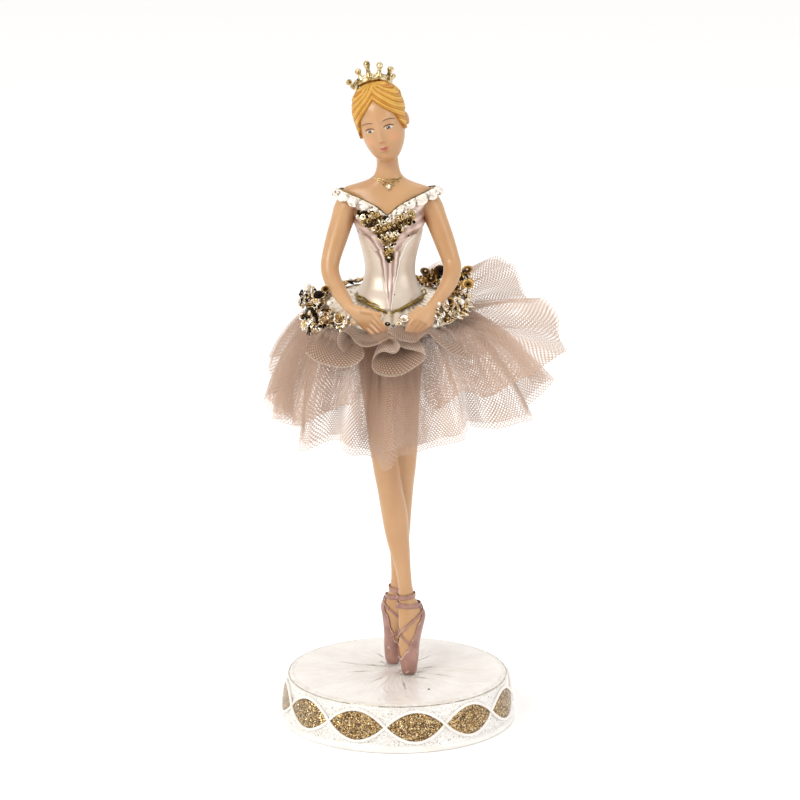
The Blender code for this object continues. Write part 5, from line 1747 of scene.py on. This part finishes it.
def make_hip_trim():
    """Sequins and beads heaped on the basque's rim. About a third of them stand clear of the rest."""
    bm = bmesh.new()
    for k, (side, height, size, own, depth) in enumerate(CUPS):
        spot, along, over = rim_spot(side, height, depth)
        view = Vector((0.5 * math.sin(2.1 * k), -1.0, 0.45 + 0.3 * math.cos(1.7 * k)))
        away = (over * 0.6 + view * 0.8).normalized()
        cup(bm, spot + away * 1.0, away, size, own)
        cup(bm, spot + away * 1.35, away, size * 0.62, own * 0.5 + 0.02)
        bead(bm, spot + away * 1.7, (0.62, 0.62, 0.62), 0.62 if k % 3 else 0.05)
    for k, (side, depth, height, size, own) in enumerate(FRONT_SEQUINS):
        away = Vector((0.25 * math.sin(2.3 * k), -0.55, 0.8)).normalized()
        cup(bm, Vector((side, depth, height)), away, size, own)
        bead(bm, Vector((side, depth, height)) + away * 0.45, (0.4, 0.4, 0.4), 0.9 - 0.5 * own)
    for c, (side, height, wide, tall, count, dark, light, depth) in enumerate(CLUSTERS):
        for k in range(count):
            u, v = scatter(k, 0.31 * c)
            w, t = scatter(k, 0.57 + 0.13 * c)
            reach = math.sqrt(u)
            turn = 2 * math.pi * v
            spot, along, over = rim_spot(
                side + wide * reach * math.cos(turn), height + tall * reach * math.sin(turn), depth
            )
            lean = Vector((1.3 * (w - 0.5), -0.9, 0.25 + 1.0 * (t - 0.5)))
            away = (over * 0.55 + lean).normalized()
            pick = (37.3 * w + 11.7 * t) % 1.0
            pick = 0.12 * pick if pick < 0.3 else 0.5 + 0.5 * (pick - 0.3) / 0.7
            own = dark + (light - dark) * pick
            centre = spot + Vector((0, -0.9, -0.4)) * t
            if k % 4 == 3:
                size = 0.45 + 0.5 * w
                bead(bm, centre, (size, size, size), own, fine=1)
            else:
                size = 0.8 + 0.5 * w * t + 0.12 * (k % 3)
                cup(bm, centre, away, size, own, dish=0.15 + 0.35 * w, long=1.35 + 0.9 * (k % 2),
                    spin=0.8 * (t - 0.5))
    count = 58
    for k in range(count):
        angle = math.radians(44) + (2 * math.pi - math.radians(88)) * k / (count - 1)
        for row, out in enumerate((-3.4, -1.2, 0.8, 2.6)):
            w, t = scatter(k, 0.23 * row)
            spot, along, over = trim_point(angle + 0.06 * w, out + t, 1.2 + 0.6 * w)
            away = (over + along * (t - 0.5) + Vector((0.8 * (w - 0.5), 0, 0))).normalized()
            own = 0.05 + 0.8 * abs(math.sin(23.0 * w + 9.1 * t))
            cup(bm, spot, away, 1.6 + 0.9 * t, own, long=1.0 + 0.2 * w, spin=5 * t)
    look = plated(
        "plated_sequins",
        [(0.0, "#120E0B"), (0.15, "#33241A"), (0.3, "#96703C"), (0.5, "#D2AC66"), (0.72, "#EADBC0"),
         (1.0, "#FFFDFA")],
        0.10,
    )
    made = piece("hip_sequins", bm, look)
    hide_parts("hip_trim")
    bm = bmesh.new()
    for side, height, size in PEARLS:
        spot, along, over = rim_spot(side, height)
        ball(bm, spot + over * size * 0.6 + Vector((0, -1.6, 0)), (size, size, size), fine=3)
    piece("hip_pearls", bm, bead_pearl())


# Half width of the beaded V by height
BEAD_SPREAD = [(191.5, 0.3), (196.0, 1.3), (200.0, 2.2), (203.0, 3.6), (206.0, 6.4), (209.0, 9.6),
               (212.0, 11.6)]


def make_bodice_beads():
    """Glued beads and sequins in a V from the neckline down the bust."""
    bm = bmesh.new()
    for row in range(20):
        height = 213.4 - 1.14 * row
        half = read_key(BEAD_SPREAD, height)
        count = max(1, round(half / 1.05))
        for k in range(-count, count + 1):
            w, t = scatter(7 * row + k + 40, 0.19 * row)
            side = -0.1 - 1.9 * clamp((height - 200) / 12) + half * k / count + 0.5 * (w - 0.5)
            place = height + 0.9 * (t - 0.5)
            if place > neckline(side - 0.9, True) - 2.2:
                continue
            spot = on_bodice(side, place, 0.35 + 0.4 * w)
            away = (spot - Vector((MIDLINE, 3.0, place))).normalized()
            lean = (away + Vector((0.9 * (w - 0.5), -0.2, 0.9 * (t - 0.5)))).normalized()
            own = 0.9 * ((41.3 * w + 13.7 * t) % 1.0)
            if k % 2:
                cup(bm, spot + away * 0.4, lean, 0.85 + 0.55 * t, own, dish=0.3)
            else:
                size = 0.5 + 0.4 * t
                bead(bm, spot + away * 0.6, (size, size, size), own, fine=1 if t < 0.6 else 2)
    specks = ((-12.9, 211.6, 0.75), (6.6, 209.3, 0.75), (-9.2, 204.0, 0.5), (4.4, 203.0, 0.5),
              (-1.3, 177.0, 0.34), (-0.7, 175.4, 0.26))
    for side, height, size in specks:
        bead(bm, on_bodice(side - MIDLINE, height, 1.2 * size), (size, size * 0.7, size), 0.0)
    look = plated(
        "bodice_bead_plating",
        [(0.0, "#120E0B"), (0.2, "#3A291A"), (0.38, "#7E6238"), (0.6, "#B99B62"), (0.8, "#E0D2B8"),
         (1.0, "#FFFCF8")],
        0.11,
    )
    made = piece("bodice_bead_cluster", bm, look)
    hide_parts("bodice_beads")


def chest_point(side, height, out):
    """A point on the front of the neck and chest."""
    _, x, y, w, d = torso_row(height)
    share = max(-0.97, min(0.97, (side - x) / w))
    return Vector((side, y - (d + out) * math.sqrt(1 - share * share), height))


def make_necklace():
    """Two painted gilt lines, four scrolls and a pearly drop."""
    bm = bmesh.new()
    for low, first, last, thick in ((2.0, -10.8, 2.4, 0.24), (0.8, -10.4, 2.0, 0.17)):
        swag = []
        for k in range(17):
            share = k / 16
            side = first + (last - first) * share
            height = 227.8 + 0.3 * share - low * math.sin(math.pi * share)
            swag.append((*chest_point(side, height, 0.2), thick))
        tube(bm, swag, 3, 10, up=(0, 0, 1))
    for side, height, turn, size in ((-7.9, 226.6, 1, 1.1), (-0.2, 226.9, -1, 1.1),
                                     (-5.8, 225.2, 1, 0.8), (-1.9, 225.3, -1, 0.8)):
        keys = []
        for k in range(13):
            angle = turn * (0.6 + 4.6 * k / 12)
            radius = size * (1 - 0.5 * k / 12)
            place = chest_point(side + radius * math.cos(angle), height + radius * math.sin(angle), 0.3)
            keys.append((*place, 0.2))
        tube(bm, keys, 2, 8, up=(0, 1, 0))
    ring = []
    for k in range(17):
        angle = 2 * math.pi * k / 16
        place = chest_point(-3.8 + 1.0 * math.sin(angle), 224.3 + 1.5 * math.cos(angle), 0.5)
        ring.append((*place, 0.2))
    tube(bm, ring, 2, 8, up=(0, 1, 0), loop=True)
    look = gilding("pale_gilt_necklace", "#806438", "#BFA266", "#E8D6A4", 0.25)
    piece("painted_necklace", bm, look)
    bm = bmesh.new()
    ball(bm, chest_point(-3.8, 224.2, 0.5), (0.75, 0.6, 1.15), fine=3)
    piece("necklace_drop", bm, bead_pearl())


# Lights, floor and camera


def soft_light(name, place, aim, size, power, tone):
    data = bpy.data.lights.new(name, "AREA")
    data.shape = "RECTANGLE"
    data.size, data.size_y = size
    data.energy = power
    data.color = colour(tone)[:3]
    made = bpy.data.objects.new(name, data)
    made.location = place
    made.rotation_euler = (Vector(aim) - Vector(place)).to_track_quat("-Z", "Y").to_euler()
    bpy.context.scene.collection.objects.link(made)


FLOOR_RADIUS = 8.0  # metres


def make_stage():
    """A white floor and room, three soft lights, and a camera fitted to the plinth's ellipses."""
    bm = bmesh.new()
    bmesh.ops.create_circle(bm, cap_ends=True, segments=96, radius=FLOOR_RADIUS)
    mesh = bpy.data.meshes.new("floor")
    bm.to_mesh(mesh)
    bm.free()
    floor = bpy.data.objects.new("floor", mesh)
    bpy.context.scene.collection.objects.link(floor)
    mesh.materials.append(finish(
        "matt_white_floor", Base_Color="#FCFCFC", Roughness=0.9, Emission_Color="#FFFFFF",
        Emission_Strength=0.06,
    )[0])
    # a white room that is darker behind the camera, where metals find something to reflect
    world = bpy.data.worlds.new("soft_studio")
    world.use_nodes = True
    tree = world.node_tree
    toward = node(tree, "TexCoord").outputs["Generated"]
    depth = node(tree, "SeparateXYZ", {"Vector": toward}).outputs["Y"]
    level = node(
        tree, "MapRange",
        {"Value": depth, "From Min": -1.0, "From Max": -0.5, "To Min": 0.42, "To Max": 1.0},
    ).outputs["Result"]
    tree.links.new(level, tree.nodes["Background"].inputs["Strength"])
    tree.nodes["Background"].inputs["Color"].default_value = colour("#FDFCFA")
    bpy.context.scene.world = world
    soft_light("key", (-1.15, -1.35, 1.35), (0, 0, 0.15), (1.0, 1.0), 20.0, "#FFFAF2")
    soft_light("fill", (1.5, -1.1, 0.8), (0, 0, 0.15), (0.7, 1.1), 6.0, "#F8F9FF")
    soft_light("top", (0.1, 0.4, 1.9), (0, 0, 0.1), (1.4, 1.4), 6.0, "#FFFFFF")
    bpy.context.scene.view_settings.view_transform = "Standard"
    data = bpy.data.cameras.new("photo_view")
    data.lens = 123.2
    data.sensor_width = 36.0
    made = bpy.data.objects.new("photo_view", data)
    made.location = (0.0011, -1.2, 0.4222)
    made.rotation_euler = (math.radians(90 - 12.85), 0, 0)
    bpy.context.scene.collection.objects.link(made)
    bpy.context.scene.camera = made


make_upper_body()
make_legs()
make_hair()
make_bodice()
make_frill()
make_basque()
make_waist_cord()
make_neckline_line()
make_panel_piping()
make_necklace()
make_bodice_beads()
make_crown()
shoe_paint = satin_shoe()
for foot_name in ("front", "back"):
    make_shoe(foot_name, shoe_paint)
    make_ribbons(foot_name, shoe_paint)
make_plinth()
make_rim_reflection_line()
make_stray_flake()
make_toe_glue()
make_plinth_cords()
make_glitter_fills()
make_tutu()
make_hip_trim()
make_stage()

bpy.context.view_layer.update()
